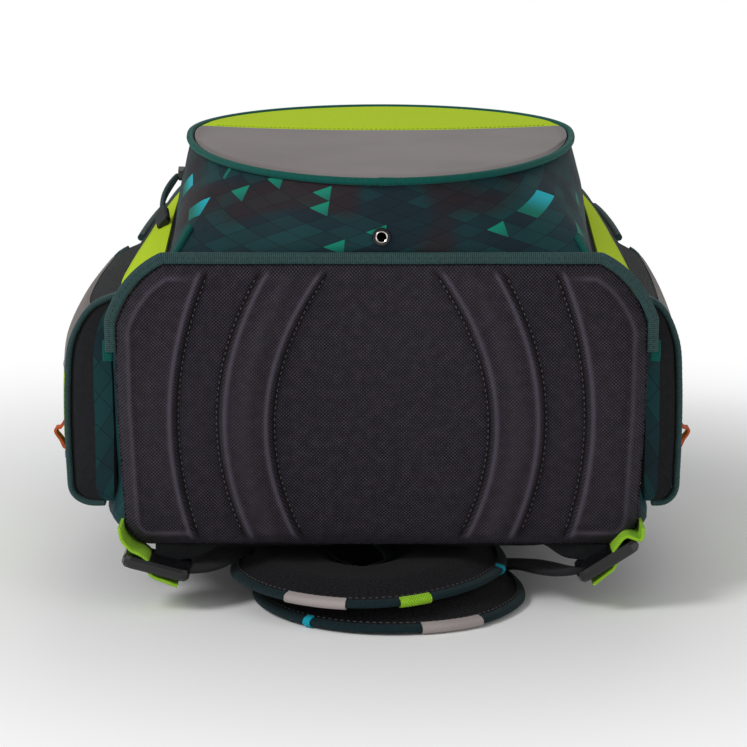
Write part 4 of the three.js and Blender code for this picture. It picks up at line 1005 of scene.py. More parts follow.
def panel_height(y):
    """The panel's height, which rises a little from its foot to its top."""
    return PANEL_Z + PANEL_TILT * (y - PANEL_FOOT) / (POCKET_LENGTH - PANEL_FOOT)


def panel_point(angle, inset=0.0, drop=0.0):
    """A point of the panel's egg-shaped rim, or of a line inside it."""
    length = np.where(np.sin(angle) < 0, PANEL_MID - PANEL_FOOT, POCKET_LENGTH - PANEL_MID) - inset
    y = PANEL_MID + length * np.sin(angle)
    return np.stack([(PANEL_HALF - inset) * np.cos(angle), y, panel_height(y) - drop], -1)


def pocket_foot(off=0.0, count=440):
    """Points round the pocket's foot as x, y and the rim angle that each rises to."""
    foot_y, shoulder_y, top_y = BODY_START + GAP - off, POCKET_LENGTH - SHOULDER, POCKET_LENGTH + CROWN + off
    t = np.linspace(0, 1, 80, endpoint=False)
    half = lambda y: body_size(y)[2] - FOOT_INSET + off
    rise = foot_y + (shoulder_y - foot_y) * t
    a = math.pi * t
    power = lambda v: np.sign(v) * np.abs(v) ** ROUNDNESS
    edge_angle = -math.pi - CORNER_ANGLE + (math.pi + 2 * CORNER_ANGLE) * t
    edge = [(2 * t - 1) * half(foot_y), foot_y + 0 * t, edge_angle]
    right = [half(rise), rise, CORNER_ANGLE + (SHOULDER_ANGLE - CORNER_ANGLE) * t]
    top = [half(shoulder_y) * power(np.cos(a)), shoulder_y + (top_y - shoulder_y) * power(np.sin(a)),
           SHOULDER_ANGLE + (math.pi - 2 * SHOULDER_ANGLE) * t]
    left = [-half(rise[::-1]), rise[::-1], math.pi - SHOULDER_ANGLE + (SHOULDER_ANGLE - CORNER_ANGLE) * t]
    ring = np.concatenate([np.array(part).T for part in (edge, right, top, left)])
    ring = np.concatenate([ring, ring[:1] + [0, 0, 2 * math.pi]])
    reach = np.concatenate([[0], np.cumsum(np.hypot(*np.diff(ring[:, :2], axis=0).T))])
    at = np.linspace(0, reach[-1], count + 1)[:-1]
    ring = np.stack([np.interp(at, reach, ring[:, k]) for k in range(3)], 1)
    soft = ring.copy()
    for k in (0, 1):
        soft[:, k] = np.mean([np.roll(ring[:, k], s) for s in range(-3, 4)], 0)
    return soft


def pocket_ring(v, off=0.0, foot=None):
    """The pocket wall's ring at height share v."""
    foot = pocket_foot(off) if foot is None else foot
    low = np.stack([foot[:, 0], foot[:, 1], np.full(len(foot), FRONT_Z + GAP)], 1)
    high = panel_point(foot[:, 2], PIPING_RADIUS * RIM_TUCK - off, PANEL_THICK / 2 + GAP)
    p = low + (high - low) * v
    away = unit(np.stack([p[:, 0], p[:, 1] - PANEL_MID, 0 * p[:, 0]], 1))
    return p + away * math.sin(math.pi * v) * BELLY


print("panel height at its foot and top:", [round(panel_height(y), 1) for y in (PANEL_FOOT, POCKET_LENGTH)])

# %% [markdown]
# **Gusset.** Printed satin over a thin lining. It is a ring of cloth closed on itself, lofted through 28 levels
# outside and back inside, and its wrinkles are upright because the cloth hangs between two seams.

# %% Gusset
PRINT_SHIFT = 0.0085  # metres that the print is moved along the wall
CORNER_FOLD, FOLD_WIDTH = 0.80, 0.05  # where the wall's corner folds in, as an angle of the rim, and how sharply
outer_foot, inner_foot = pocket_foot(0.0), pocket_foot(-WALL)
shares_up = np.linspace(0, 1, 28)
wall_out = np.stack([pocket_ring(v, 0.0, outer_foot) for v in shares_up])
wall_in = np.stack([pocket_ring(v, -WALL, inner_foot) for v in shares_up])
calm = np.sin(np.pi * shares_up)[:, None] ** 0.6
sink = 0.6 * (1 + np.clip(ripple(wall_out * [1, 1, 0.35], 12, 60.0), -1, 1)) * calm
corner_fold = bell(np.abs(outer_foot[:, 2] + math.pi / 2) - CORNER_FOLD, FOLD_WIDTH)
sink += 1.0 * corner_fold[None] * calm
wall_way = unit(np.stack([wall_out[..., 0], wall_out[..., 1] - PANEL_MID, 0 * wall_out[..., 0]], -1))
wall_out -= wall_way * sink[..., None]
gusset = loft("front_pocket_wall", np.concatenate([wall_out, wall_in[::-1]]), joined=True, wrap_start=PRINT_SHIFT)
print("levels of the wall:", len(wall_out))

# %% [markdown]
# A round hole is cut for the drain eyelet with a boolean, the surest way to keep the rest of the map as it was.
# Only the wall's foot and the first 90 mm of its sides are printed. The rest is charcoal, chosen by the same map.

# %% The eyelet's hole
EYELET_HEIGHT, HOLE_RADIUS, PLAIN_RUN = 14.0, 3.7, 0.09
low = np.array([0, BODY_START + GAP, FRONT_Z + GAP])
high = panel_point(-math.pi / 2, PIPING_RADIUS * RIM_TUCK, PANEL_THICK / 2 + GAP)
eyelet_share = EYELET_HEIGHT / (high[2] - low[2])
eyelet_seat = low + (high - low) * eyelet_share - np.array([0, math.sin(math.pi * eyelet_share) * BELLY, 0])
eyelet_way = unit(np.array([0, -(high - low)[2], (high - low)[1]]))
round_hole = [HOLE_RADIUS * np.array([math.cos(t), 0, math.sin(t)])
              for t in np.linspace(0, 2 * math.pi, 32, endpoint=False)]
cutter = loft("cutter", np.array([[eyelet_seat + eyelet_way * h + spot for spot in round_hole] for h in (-8, 8)]))
hole = gusset.modifiers.new("hole", "BOOLEAN")
hole.object, hole.operation, hole.solver = cutter, "DIFFERENCE", "EXACT"
bpy.context.view_layer.update()
cut_mesh = bpy.data.meshes.new_from_object(gusset.evaluated_get(bpy.context.evaluated_depsgraph_get()))
gusset.modifiers.remove(hole)
gusset.data = cut_mesh
bpy.data.objects.remove(cutter)
hand_over(gusset, print_cloth, "printed_textile", "front_pocket_gusset")
around = np.linalg.norm(np.diff(wall_out, axis=1, append=wall_out[:, :1]), axis=2).sum(1).mean() / 1000
foot_run = 2 * (body_size(BODY_START)[2] - FOOT_INSET) / 1000
paint_map(gusset, body_cloth, lambda u, v: foot_run + PLAIN_RUN < u % around < around - PLAIN_RUN)

# %% [markdown]
# **Drain eyelet.** A pressed ring in two parts: a black washer outside and a bright rolled barrel in its middle.
# A lathe turns each one from a few points of its profile.

# %% Eyelet
def lathe(name, profile, seat, way, steps=48):
    """Turns a closed profile of (radius, height) about an axis; the profile closes on itself."""
    side = unit(np.cross(way, (1.0, 0, 0)))
    other = np.cross(way, side)
    a = np.linspace(0, 2 * math.pi, steps, endpoint=False)
    ring = [seat + r * (np.cos(t) * side + np.sin(t) * other) + h * way for t in a for r, h in profile]
    return loft(name, np.array(ring).reshape(steps, len(profile), 3), joined=True, smooth_angle=40)


WASHER = [(3.5, 0.2), (4.9, 0.35), (5.0, 0.8), (4.6, 1.35), (3.9, 1.5), (3.5, 1.2)]
BARREL = [(2.5, -3.0), (3.1, -3.0), (3.1, 0.9), (3.4, 1.3), (3.3, 1.7), (3.0, 1.85), (2.65, 1.65), (2.5, 1.2)]
washer = lathe("eyelet_washer", WASHER, eyelet_seat, eyelet_way)
barrel = lathe("eyelet_barrel", BARREL, eyelet_seat, eyelet_way)
hand_over(washer, plastic, "eyelet_metal")
hand_over(barrel, steel, "eyelet_metal", "drain_eyelet")

# %% [markdown]
# **Front panel.** Two cloths meet in a seam that sags in the middle: grey reflective cloth below, lime above.
# Each is a sheet whose columns run from one edge curve to the other, with a slight pillow from the foam under
# it, held down at its rim.

# %% Front panel
PANEL_INSET = PIPING_RADIUS + 2.5 * GAP
SEAM_AT, SEAM_RISE, PILLOW = 198.0, 22.0, 1.3
PANEL_COLUMNS, PANEL_ROWS = 140, 44


def seam_y(x):
    """How far up the seam stands: it sags in the middle."""
    return SEAM_AT + SEAM_RISE * (x / PANEL_HALF) ** 2


def panel_sheet(name, lower):
    """The panel's cloth below or above the seam."""
    half = PANEL_HALF - PANEL_INSET
    arc = lambda x: np.sqrt(np.maximum(1 - (x / half) ** 2, 0))
    low_y = lambda x: PANEL_MID - (PANEL_MID - PANEL_FOOT - PANEL_INSET) * arc(x)
    high_y = lambda x: PANEL_MID + (POCKET_LENGTH - PANEL_MID - PANEL_INSET) * arc(x)
    reach = half
    if not lower:
        tries = np.linspace(0.5 * half, half, 4000)
        reach = tries[np.argmax(high_y(tries) < seam_y(tries) + 0.3)]
    x = reach * np.sin(np.linspace(-1, 1, PANEL_COLUMNS) * math.pi / 2 * 0.985)
    foot = low_y(x) if lower else seam_y(x) + 0.15
    top = np.minimum(seam_y(x) - 0.15, high_y(x)) if lower else high_y(x)
    t = 0.5 - 0.5 * np.cos(np.linspace(0, math.pi, PANEL_ROWS))
    y = foot[:, None] + (top - foot)[:, None] * t
    xs = np.repeat(x[:, None], PANEL_ROWS, 1)
    border = np.minimum(np.minimum(y - foot[:, None], top[:, None] - y), (reach - np.abs(xs)) * 1.2)
    uneven = 0.3 * ripple(np.stack([xs, y, 0 * y], -1), 5, 90.0)
    pillow = PILLOW * smooth(border / 9.0) + uneven * smooth(border / 20.0)
    up = np.stack([xs, y, panel_height(y) + PANEL_THICK / 2 + pillow - 0.3], -1)
    down = np.stack([xs, y, panel_height(y) - PANEL_THICK / 2], -1)
    return sheet_body(name, up, down)


for kind, finish, end in (("reflective", reflective, "lower"), ("lime", lime_cloth, "upper")):
    panel = panel_sheet(f"{kind}_panel", end == "lower")
    hand_over(panel, finish, f"{kind}_textile", f"front_pocket_panel_{end}")
seam_x = np.linspace(-100, 100, 90)
seam_line = np.stack([seam_x, seam_y(seam_x) + 2.6, panel_height(seam_y(seam_x)) + 1.3], 1)
repeat("panel_stitches", [(seam_line, (0, 0, 1))], 2.8, (1.9, 0.5, 0.5), lime_thread)

# %% [markdown]
# **Piping.** The rim is a cord in a ribbed teal ribbon, with its two ends lapped at the middle of the foot.

# %% Piping
rim_line = panel_point(np.linspace(0, 2 * math.pi, 460, endpoint=False))
rim_scale = 1 + 0.05 * ripple(rim_line, 2, 40.0)
cord_rings = sweep_rings(rim_line, (0, 0, 1), PIPE * PIPING_RADIUS, joined=True, scale=rim_scale)
lap_line = panel_point(np.linspace(-1.585, -1.50, 24))
lap_size = np.concatenate([[0.9], np.linspace(1.13, 1.05, 22), [0.9]])
lap = loft("lap", sweep_rings(lap_line, (0, 0, 1), PIPE * PIPING_RADIUS, scale=lap_size, thin=lap_size))
piping = join("piping", [loft("cord", cord_rings, joined=True), lap])
hand_over(piping, piping_cloth, "teal_piping", "front_pocket_piping")

# %% [markdown]
# **Zip.** The tape runs round the top of the pocket's wall. Its teeth are blocks set along its middle by the
# repeat tree, and the slider keeps its solid, which is metal and already the right shape. The pull is a loop of
# cord with a ribbed grip.

# %% Zip
ZIP_HEIGHT, ZIP_WIDTH, ZIP_START, ZIP_TAIL, TRIM, TAPE_POINTS = 20.0, 13.0, 216.0, 12.0, 1.2, 9
PAST_FOOT = 60  # the ring's first points run along the pocket's foot, where the zip never comes
on_zip = np.where((outer_foot[:, 1] > ZIP_START - ZIP_TAIL) & (np.arange(len(outer_foot)) > PAST_FOOT))[0]


def zip_band(off, count):
    """A grid of points along the zip, lifted off the pocket's wall."""
    heights = np.linspace(ZIP_HEIGHT - ZIP_WIDTH / 2, ZIP_HEIGHT + ZIP_WIDTH / 2, count)
    foot = pocket_foot(off)
    return np.stack([pocket_ring(h / POCKET_DEPTH, off, foot)[on_zip] for h in heights], 1)


tape = sheet_body("zip_tape_cloth", zip_band(GAP + TRIM, TAPE_POINTS), zip_band(GAP, TAPE_POINTS))
hand_over(tape, zip_cloth, "zip_tape", "front_zip_tape")
teeth_line = pocket_ring(ZIP_HEIGHT / POCKET_DEPTH, GAP + TRIM + 0.4)[on_zip]
teeth_out = unit(np.stack([teeth_line[:, 0], teeth_line[:, 1] - PANEL_MID, 0 * teeth_line[:, 0]], 1))
repeat("zip_teeth", [(teeth_line, teeth_out)], 2.4, (1.5, 4.4, 1.5), plastic, block=True)


def refinish(finish, *names):
    """A solid of the right shape keeps its mesh and gets a better finish."""
    for name in names:
        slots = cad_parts[name].data.materials
        for k in range(len(slots)):
            slots[k] = finish
        print(name, "keeps its solid, in", finish.name)


refinish(dark_steel, "zip_slider")
slider_low, slider_high = (np.array(corner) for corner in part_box("zip_slider"))
seat = ((slider_low + slider_high) / 2 - ORIGIN) * 1000
PULL_LENGTH, PULL_BOW, STRAND_RADIUS, STRAND_ASIDE, LOOP_SHARE = 66.0, 4.6, 1.45, 2.5, 0.8
PULL_UP, GRIP_POINTS, GRIP_RIBS = (-0.75, 0, 0.66), 61, 7
pull_end = corner_points(seat[1] - PULL_LENGTH, -1, np.array([0.1]), 3.0)[0]
pull_start = seat + np.array([-2.6, -4.0, -1.0])


def pull_line(count, first, last, aside):
    """A share of the pull's length, bowed away from the wall; the loop's strands stand apart by aside."""
    t = np.linspace(first, last, count)
    line = pull_start + (pull_end - pull_start) * t[:, None]
    apart = np.sin(np.pi * np.clip(t / LOOP_SHARE, 0, 1)) ** 0.5
    line[:, 0] -= PULL_BOW * np.sin(np.pi * t) - 0.4
    line[:, 1] += aside * apart
    line[:, 2] += 0.6 * aside * apart
    return line


strands = [loft("strand", sweep_rings(pull_line(40, 0, LOOP_SHARE, aside), PULL_UP, CIRCLE * STRAND_RADIUS))
           for aside in (-STRAND_ASIDE, STRAND_ASIDE)]
grip_t = np.linspace(0, 1, GRIP_POINTS)
grip_ribs = 0.09 * np.sign(np.sin(grip_t * 2 * math.pi * GRIP_RIBS))
grip_wide = 0.75 + 0.45 * smooth(grip_t * 4) - 0.25 * smooth((grip_t - 0.9) * 10) + grip_ribs
grip_rings = sweep_rings(pull_line(GRIP_POINTS, 0.72, 1.0, 0.0), PULL_UP, rounded_rect(7.6, 4.2, 1.6),
                         scale=grip_wide, thin=0.6 + 0.4 * grip_wide)
grip = loft("grip", grip_rings)
for strand in strands:
    strand.data.materials.append(grosgrain)
grip.data.materials.append(rubber)
pull = join("zip_cord_pull", [*strands, grip])
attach(pull, "root")
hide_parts("zip_pull")

# %% [markdown]
# # Sides
#
# **Corner panels.** Lime cloth fills the corner between the pocket and the body's side, wide at the base and
# running out towards the top. It lies on the body's own corner curve, so the same rule gives both.

# %% Corner panels
SIDES = ((-1, "left"), (1, "right"))
PANEL_AT, PANEL_REACH = (0, 0.17, 0.38, 0.6, 0.78), (0.74, 0.5, 0.32, 0.2, 0.06)
LIME_LOWEST, LIME_START = 174.2, 0.01  # the side pocket's top, and where on the corner's curve the lime begins
corner_edges = []
for side, word in SIDES:
    ys = np.linspace(BODY_START + GAP, BODY_START + PANEL_AT[-1] * HEIGHT, 90)
    grids = []
    for off in (GAP + TRIM, GAP):
        rows_made = []
        for y in ys:
            fine = np.linspace(0, 1, 60)
            clear = np.interp(-LIME_LOWEST, -corner_points(y, side, fine, off)[:, 2], fine)
            reach = min(float(np.interp((y - BODY_START) / HEIGHT, PANEL_AT, PANEL_REACH)), float(clear))
            along = LIME_START + (reach - LIME_START) * np.linspace(0, 1, 18)
            rows_made.append(corner_points(y, side, along, off))
        grids.append(np.stack(rows_made))
    corner_edges.append((grids[0][3:-3, -2] * 0.5 + grids[0][3:-3, -3] * 0.5, (side * 0.6, 0, 0.8)))
    corner = sheet_body(f"lime_corner_{word}", *grids)
    hand_over(corner, lime_cloth, "lime_textile", f"corner_panel_{word}")
    declare_sheet(corner, grids[0])
declare_sheet(tape, zip_band(GAP + TRIM, TAPE_POINTS))  # the zip's tape, sewn on in the same way
repeat("corner_stitches", corner_edges, 3.0, (2.0, 0.5, 0.5), lime_thread)

# %% [markdown]
# **Side pockets.** Each is a pouch on the body's side: a floor at its lower end, a rounded outer face and an
# open mouth. One grid of points, out over the floor and then up, makes the whole bag of it, and a second grid
# inside gives the cloth its thickness.

# %% Side pockets
SIDE_START, SIDE_HEIGHT, SIDE_WIDTH, SIDE_LOW = 24.0, 182.0, 117.0, BACK_Z + 20.0
SIDE_OUT = (0.0, 0.62, 0.93, 1.0, 1.0, 0.86, 0.52, 0.0)
SIDE_UP = (0.0, 0.005, 0.05, 0.16, 0.58, 0.78, 0.93, 1.0)
SIDE_DEPTH = {-1: 23.0, 1: 17.0}
SWELL = fine_table((0, 0.03, 0.3, 0.6, 1), (0.93, 1, 1, 0.97, 0.85))
FLOOR_ROWS, EDGE_TUCK = 9, 0.9  # rows of the pouch's floor, and how far its edges go into the body's cloth


def side_reach(side, y, z):
    """How far from the middle the body's side stands at height z."""
    corner = corner_points(y, side, np.linspace(1, 0, 24))
    return np.interp(z, corner[:, 2], np.abs(corner[:, 0]))


def side_profile(side, y, inset=0.0, grow=1.0, count=46):
    """The pouch's outline at height y, from its lower seam round to its upper one."""
    out = np.array(SIDE_OUT)
    z = SIDE_LOW + inset + np.array(SIDE_UP) * (SIDE_WIDTH - 2 * inset)
    x = side_reach(side, y, z) + out * grow * SIDE_DEPTH[side] - inset * (out > 0) - EDGE_TUCK * (out == 0)
    curve = spline(np.stack([side * x, y + 0 * x, z], 1), np.linspace(0, 1, 120))
    return resample(curve, count, closed=False)


def side_pouch(side, inset, floor_y):
    """The whole pouch as one grid: out over its floor, then up to its mouth."""
    grid = []
    for g in np.linspace(0.03, 0.92, FLOOR_ROWS):
        grid.append(side_profile(side, floor_y + 1.2 * g * g, inset, g))
    for t in np.linspace(0.012, 1, 70):
        grid.append(side_profile(side, SIDE_START + t * SIDE_HEIGHT + inset * (1 - t), inset, float(SWELL(t))))
    return np.stack(grid)


def side_face(side, y, w, off):
    """A point of the pouch's outer face; w is a share of its width."""
    t = (y - SIDE_START) / SIDE_HEIGHT
    ring = side_profile(side, y, 0.0, float(SWELL(t)), 90)
    z = SIDE_LOW + np.asarray(w) * SIDE_WIDTH
    x = np.interp(z, ring[:, 2], side * ring[:, 0]) + off
    return np.stack([side * x, y + 0 * z, z], -1)


PRINTED_ROWS, RIM_UP, RIM_OUT = 4, 3.75, 1.3  # printed rows of the floor, and where the binding runs round it
PATCH_LOW, PATCH_HIGH = 8.6, 5.0
hems, patch_lines = [], []
for side, word in SIDES:
    pouch_out, pouch_in = side_pouch(side, 0.0, SIDE_START), side_pouch(side, WALL, SIDE_START + WALL)
    sag = 0.5 * (1 + np.clip(ripple(pouch_out, 31 + side, 48.0), -1, 1))
    pouch_out[..., 0] -= side * sag * np.sin(np.linspace(0, math.pi, pouch_out.shape[1]))
    pouch = sheet_body(f"side_pouch_{word}", pouch_out, pouch_in)
    hand_over(pouch, body_cloth, "body_textile", f"side_pocket_{word}")
    pouch.data.materials.append(quiet_print)
    for face in list(pouch.data.polygons)[:PRINTED_ROWS * 2 * pouch_out.shape[1]]:
        face.material_index = 1
    rim_path = side_profile(side, SIDE_START + RIM_UP, -RIM_OUT, 1.0, 110)[4:]
    rim_tape = loft(f"pouch_binding_{word}", sweep_rings(rim_path, (0, -1, 0), rounded_rect(3.2, 8.4, 1.5, 4, 3)))
    hand_over(rim_tape, grosgrain, "grosgrain", f"side_pocket_binding_{word}")
    patch_lines.append((rim_path[6:-4] + np.array([side * 1.65, -1.0, 0]), (side, 0, 0)))
    hem = pouch_out[-1][3:-3].copy()
    hem[:, 0] -= side * WALL / 2
    hems.append(loft("hem", sweep_rings(hem, (0, 1, 0), rounded_rect(3.6, 7.0, 1.4, 4, 2))))
    for name, finish, slot, first, last in (("side_panel", lime_cloth, "lime_textile", 0.15, 0.59),
                                            ("side_reflector", reflective, "reflective_textile", 0.6, 0.93)):
        ys = np.linspace(SIDE_START + PATCH_LOW, SIDE_START + SIDE_HEIGHT - PATCH_HIGH, 50)
        ws = np.linspace(first, last, 16)
        grids = [np.stack([side_face(side, y, ws, off) for y in ys]) for off in (GAP + TRIM, GAP)]
        patch = hand_over(sheet_body(f"{name}_{word}_cloth", *grids), finish, slot, f"{name}_{word}")
        declare_sheet(patch, grids[0])
        patch_lines.append((grids[0][2:-2, 1] + np.array([side * 0.2, 0, 0]), (side, 0, 0)))
hand_over(join("pouch_hems", hems), grosgrain, "grosgrain")
repeat("pouch_stitches", patch_lines, 3.1, (2.0, 0.55, 0.5), teal_thread)

# %% [markdown]
# **Labels.** A short orange ribbon is folded in half and sewn into each pouch's patch. Its fold is a table of how
# far out and how far up each point is, and the inner face follows the outer one at the ribbon's thickness.

# %% Labels
LABEL_UP, LABEL_AT, LABEL_THICK, LABEL_HALF = 13.0, 0.31, 1.3, 4.5
LABEL_FOLD = np.array([(-0.5, -8.5), (2.0, -8.2), (4.4, -3.5), (7.2, 1.2), (6.8, 3.2), (4.6, 3.6), (1.2, 8.6),
                       (-0.5, 9.0)])
for side, word in SIDES:
    face = side_face(side, SIDE_START + LABEL_UP, LABEL_AT, 0.0)
    edge, thick = (
        spline(np.stack([side * (LABEL_FOLD[:, 0] - deep), 0 * LABEL_FOLD[:, 0], LABEL_FOLD[:, 1] * share], 1),
               np.linspace(0, 1, 30)) + face for deep, share in ((0.0, 1.0), (LABEL_THICK, 0.84)))
    label_rings = [np.concatenate([edge, thick[::-1]]) + np.array([0, dy, 0])
                   for dy in np.linspace(-LABEL_HALF, LABEL_HALF, 8)]
    label = loft(f"label_{word}", np.stack(label_rings), cap="strip")
    hand_over(label, tab_cloth, "orange_tab", f"side_label_{word}")

# %% [markdown]
# The seam at the foot of the pocket's wall is piped too, and shows as a short bright piece at each corner.

# %% Foot piping
feet = []
for side, reach in ((-1, 0.36), (1, 0.26)):
    corner = np.argmin(np.hypot(outer_foot[:, 0] - side * 140, outer_foot[:, 1] + 20))
    line = np.array([pocket_ring(v, 1.6, outer_foot)[corner] for v in np.linspace(0.03, reach, 14)])
    feet.append(loft("foot", sweep_rings(line, (side, 0, 0), PIPE * 1.9)))
hand_over(join("foot_piping", feet), piping_cloth, "teal_piping")

# %% [markdown]
# # Back and straps
#
# **Back pads.** Two foam pads covered with spacer mesh, with a channel between them for air. Each is a few
# rounded outlines stacked from the body's back outwards, and its face is sewn down along two cross lines, so it
# swells between them. The photo hides them, so they are plain.

# %% Back pads
PAD_LONG, PAD_BROAD, PAD_DEEP, PAD_ROUND, PAD_MIDDLE, PAD_ASIDE = 286.0, 96.0, 8.6, 26.0, 171.0, 60.0
PAD_SIDE = ((0, 0.5), (0.2, -0.6), (0.45, -1.5), (0.65, -0.8), (0.82, 2), (0.94, 4.6), (1.0, 8.5))
PAD_SEAMS, SEAM_DEPTH = (124.0, 218.0), 2.4


def back_pad(side):
    """A pad whose side is a table of depth shares and insets, and whose face dips along its two seams."""
    rings = []
    for z, inset in PAD_SIDE:
        outline = rounded_rect(PAD_BROAD - 2 * inset, PAD_LONG - 2 * inset, PAD_ROUND - inset, 8)
        outline = resample(np.stack([outline[:, 0], outline[:, 1], 0 * outline[:, 0]], 1), 200)
        rings.append(np.stack([outline[:, 0], outline[:, 1], np.full(200, -z * PAD_DEEP)], 1))
    for share in np.linspace(0.94, 0.02, 22):
        rings.append(np.stack([rings[6][:, 0] * share, rings[6][:, 1] * share, np.full(200, -PAD_DEEP)], 1))
    rings = np.stack(rings) + [side * PAD_ASIDE, PAD_MIDDLE, BACK_Z - GAP]
    seams = sum(bell(rings[..., 1] - y, 4.0) for y in PAD_SEAMS)
    rings[6:, :, 2] += (SEAM_DEPTH * seams + 0.25 * (1 + ripple(rings, 40 + side, 50.0)))[6:]
    return loft(f"back_cushion_{'left' if side < 0 else 'right'}", rings[::-1])


for side, word in SIDES:
    cushion = hand_over(back_pad(side), spacer_mesh, "spacer_mesh", f"back_pad_{word}")

# %% [markdown]
# **Shoulder straps.** Each is a foam core in spacer mesh with a woven tape round its edge. Both are folded under
# the bag and cross in the middle, the left one on top of the right. The route of each is a table, and the strap is
# a rounded section swept along it. Its faces are soft and its edges are pressed thin by the tape.

# %% Routes
# x as a share of the width, y of the height, lift in levels above the floor, width as a share of 68 mm
LEFT_ROUTE = [(-0.155, 0.925, 1.9, 0.82), (-0.158, 0.875, 1, 0.94), (-0.16, 0.82, 0, 1), (-0.155, 0.77, 0, 1),
              (-0.132, 0.7, 0.6, 1), (-0.08, 0.61, 1.06, 1), (-0.005, 0.46, 1.05, 1), (0.07, 0.31, 1.05, 1),
              (0.118, 0.18, 1.07, 1), (0.122, 0.085, 1.14, 1), (0.068, 0.01, 1.14, 1), (-0.03, -0.028, 1.05, 1),
              (-0.125, 0.003, 1.05, 1), (-0.178, 0.07, 1.05, 0.98), (-0.19, 0.14, 1.05, 0.8), (-0.2, 0.2, 1.05, 0.52)]
RIGHT_ROUTE = [(0.155, 0.925, 1.9, 0.82), (0.158, 0.875, 1, 0.94), (0.16, 0.82, 0, 1), (0.152, 0.765, 0, 1),
               (0.12, 0.66, 0, 1), (0.065, 0.54, 0, 1), (-0.01, 0.4, 0, 1), (-0.085, 0.25, 0, 1), (-0.13, 0.12, 0, 1),
               (-0.12, 0.035, 0, 1), (-0.055, -0.022, 0, 1), (0.03, -0.036, 0, 1), (0.115, -0.012, 0, 1),
               (0.163, 0.05, 0, 0.98), (0.18, 0.125, 0, 0.8), (0.19, 0.19, 0, 0.52)]
STRAP_WIDTH, STRAP_THICK, STRAP_LEVEL = 68.0, 12.0, 12.3
FOAM_HALF = STRAP_THICK / 2


def strap_line(route, at):
    """The strap's middle line and its width, at shares of its route."""
    route = np.array(route)
    points = np.stack([route[:, 0] * WIDTH, route[:, 1] * HEIGHT, FOAM_HALF + route[:, 2] * STRAP_LEVEL], 1)
    line = spline(points, at)
    line[:, 2] = np.maximum(line[:, 2], FOAM_HALF)
    return line, np.interp(np.asarray(at) * (len(route) - 1), np.arange(len(route)), route[:, 3])


def strap_thin(at):
    """The strap is half as thick at its root as further on."""
    return np.minimum(1, 0.5 + 4.5 * at)


def strap_side(line):
    """The level direction across the strap."""
    along = unit(np.gradient(line, axis=0))
    return unit(np.stack([along[:, 1], -along[:, 0], 0 * along[:, 0]], 1))


def strap_rim(route, first, last, side, out, up, count):
    """A line along the strap's edge: out from its middle as a share of its half width, and up from its middle."""
    at = np.linspace(first, last, count)
    line, width = strap_line(route, at)
    aside = strap_side(line) * side
    rise = np.array([0, 0, 1]) * (up * strap_thin(at))[:, None]
    return line + aside * (width * STRAP_WIDTH / 2 * out)[:, None] + rise


def foam_section():
    """The foam's section, pressed thin at its rims, more from above than from below."""
    block = rounded_rect(STRAP_WIDTH, STRAP_THICK, 4.8, 7, 26)
    across = np.abs(block[:, 0])
    under = -FOAM_HALF + 1.5 * smooth((across - 24.0) / 7.0)
    over = FOAM_HALF - 7.4 * smooth((across - 10.0) / 22.0)
    return np.stack([block[:, 0], under + (over - under) * (block[:, 1] + FOAM_HALF) / STRAP_THICK], 1)


FOAM = foam_section()


def rim_section(reach, low_off, high_off):
    """A thin C over the strap's rim: the foam's own outline beyond reach, moved out by two offsets."""
    around = np.roll(FOAM, -int(np.argmin(FOAM[:, 0])), axis=0)
    along = np.roll(around, -1, axis=0) - np.roll(around, 1, axis=0)
    way = np.stack([along[:, 1], -along[:, 0]], 1) / np.hypot(*along.T)[:, None]
    way *= np.sign(np.sum(way * (around - [0, -1.0])))
    kept = around[:, 0] > reach
    return np.concatenate([(around + way * high_off)[kept], (around + way * low_off)[kept][::-1]])


for word, route, seed in (("left", LEFT_ROUTE, 51), ("right", RIGHT_ROUTE, 57)):
    at = np.linspace(0, 1, 300)
    line, width = strap_line(route, at)
    rings = sweep_rings(line, (0, 0, 1), FOAM, scale=width, thin=strap_thin(at))
    lean = unit(rings - rings.mean(1, keepdims=True))
    rings = rings - lean * (0.22 * (1 + np.clip(ripple(rings, seed, 40.0), -1, 1)))[..., None]
    strap = hand_over(loft(f"strap_{word}", rings), spacer_mesh, "spacer_mesh", f"shoulder_strap_{word}")

# %% [markdown]
# The edge tape is folded over the strap's rim and sewn through. It is a thin C-shaped ribbon that follows the
# same route, printed dark teal, with two rows of stitches.

# %% Edge tapes
TAPE = rim_section(29.2, 0.05, 0.7)
SEAM_OUT, SEAM_OVER, SEAM_UNDER = 29.9, 0.15, -5.45
tapes, tape_seams = [], []
for route in (LEFT_ROUTE, RIGHT_ROUTE):
    for side in (-1, 1):
        loops = [strap_rim(route, 0.09, 0.985, side, x / (STRAP_WIDTH / 2), z, 230) for x, z in TAPE]
        tapes.append(loft("tape", np.stack(loops, 1)))
        for up, way in ((SEAM_OVER, (0, 0, 1)), (SEAM_UNDER, (0, 0, -1))):
            tape_seams.append((strap_rim(route, 0.1, 0.98, side, SEAM_OUT / (STRAP_WIDTH / 2), up, 200), way))
hand_over(join("strap_edge_tapes", tapes), edge_tape, "spacer_mesh")
repeat("strap_stitches", tape_seams, 3.6, (2.1, 0.6, 0.55), pale_thread)

# %% [markdown]
# Reflectors and tabs are sewn over the rim of the bend that faces forward. Each is a short bent sheet that
# follows the rim.

# %% Strap patches
def rim_patch(name, side, first, last, reach, finish, slot, *nodes):
    """A patch over the outer rim of one strap, between two shares of its route."""
    route, section = (LEFT_ROUTE if side < 0 else RIGHT_ROUTE), rim_section(reach, 0.85, 1.6)
    loops = [strap_rim(route, first, last, side, x / (STRAP_WIDTH / 2), z, 40) for x, z in section]
    hand_over(loft(name, np.stack(loops, 1)), finish, slot, *nodes)


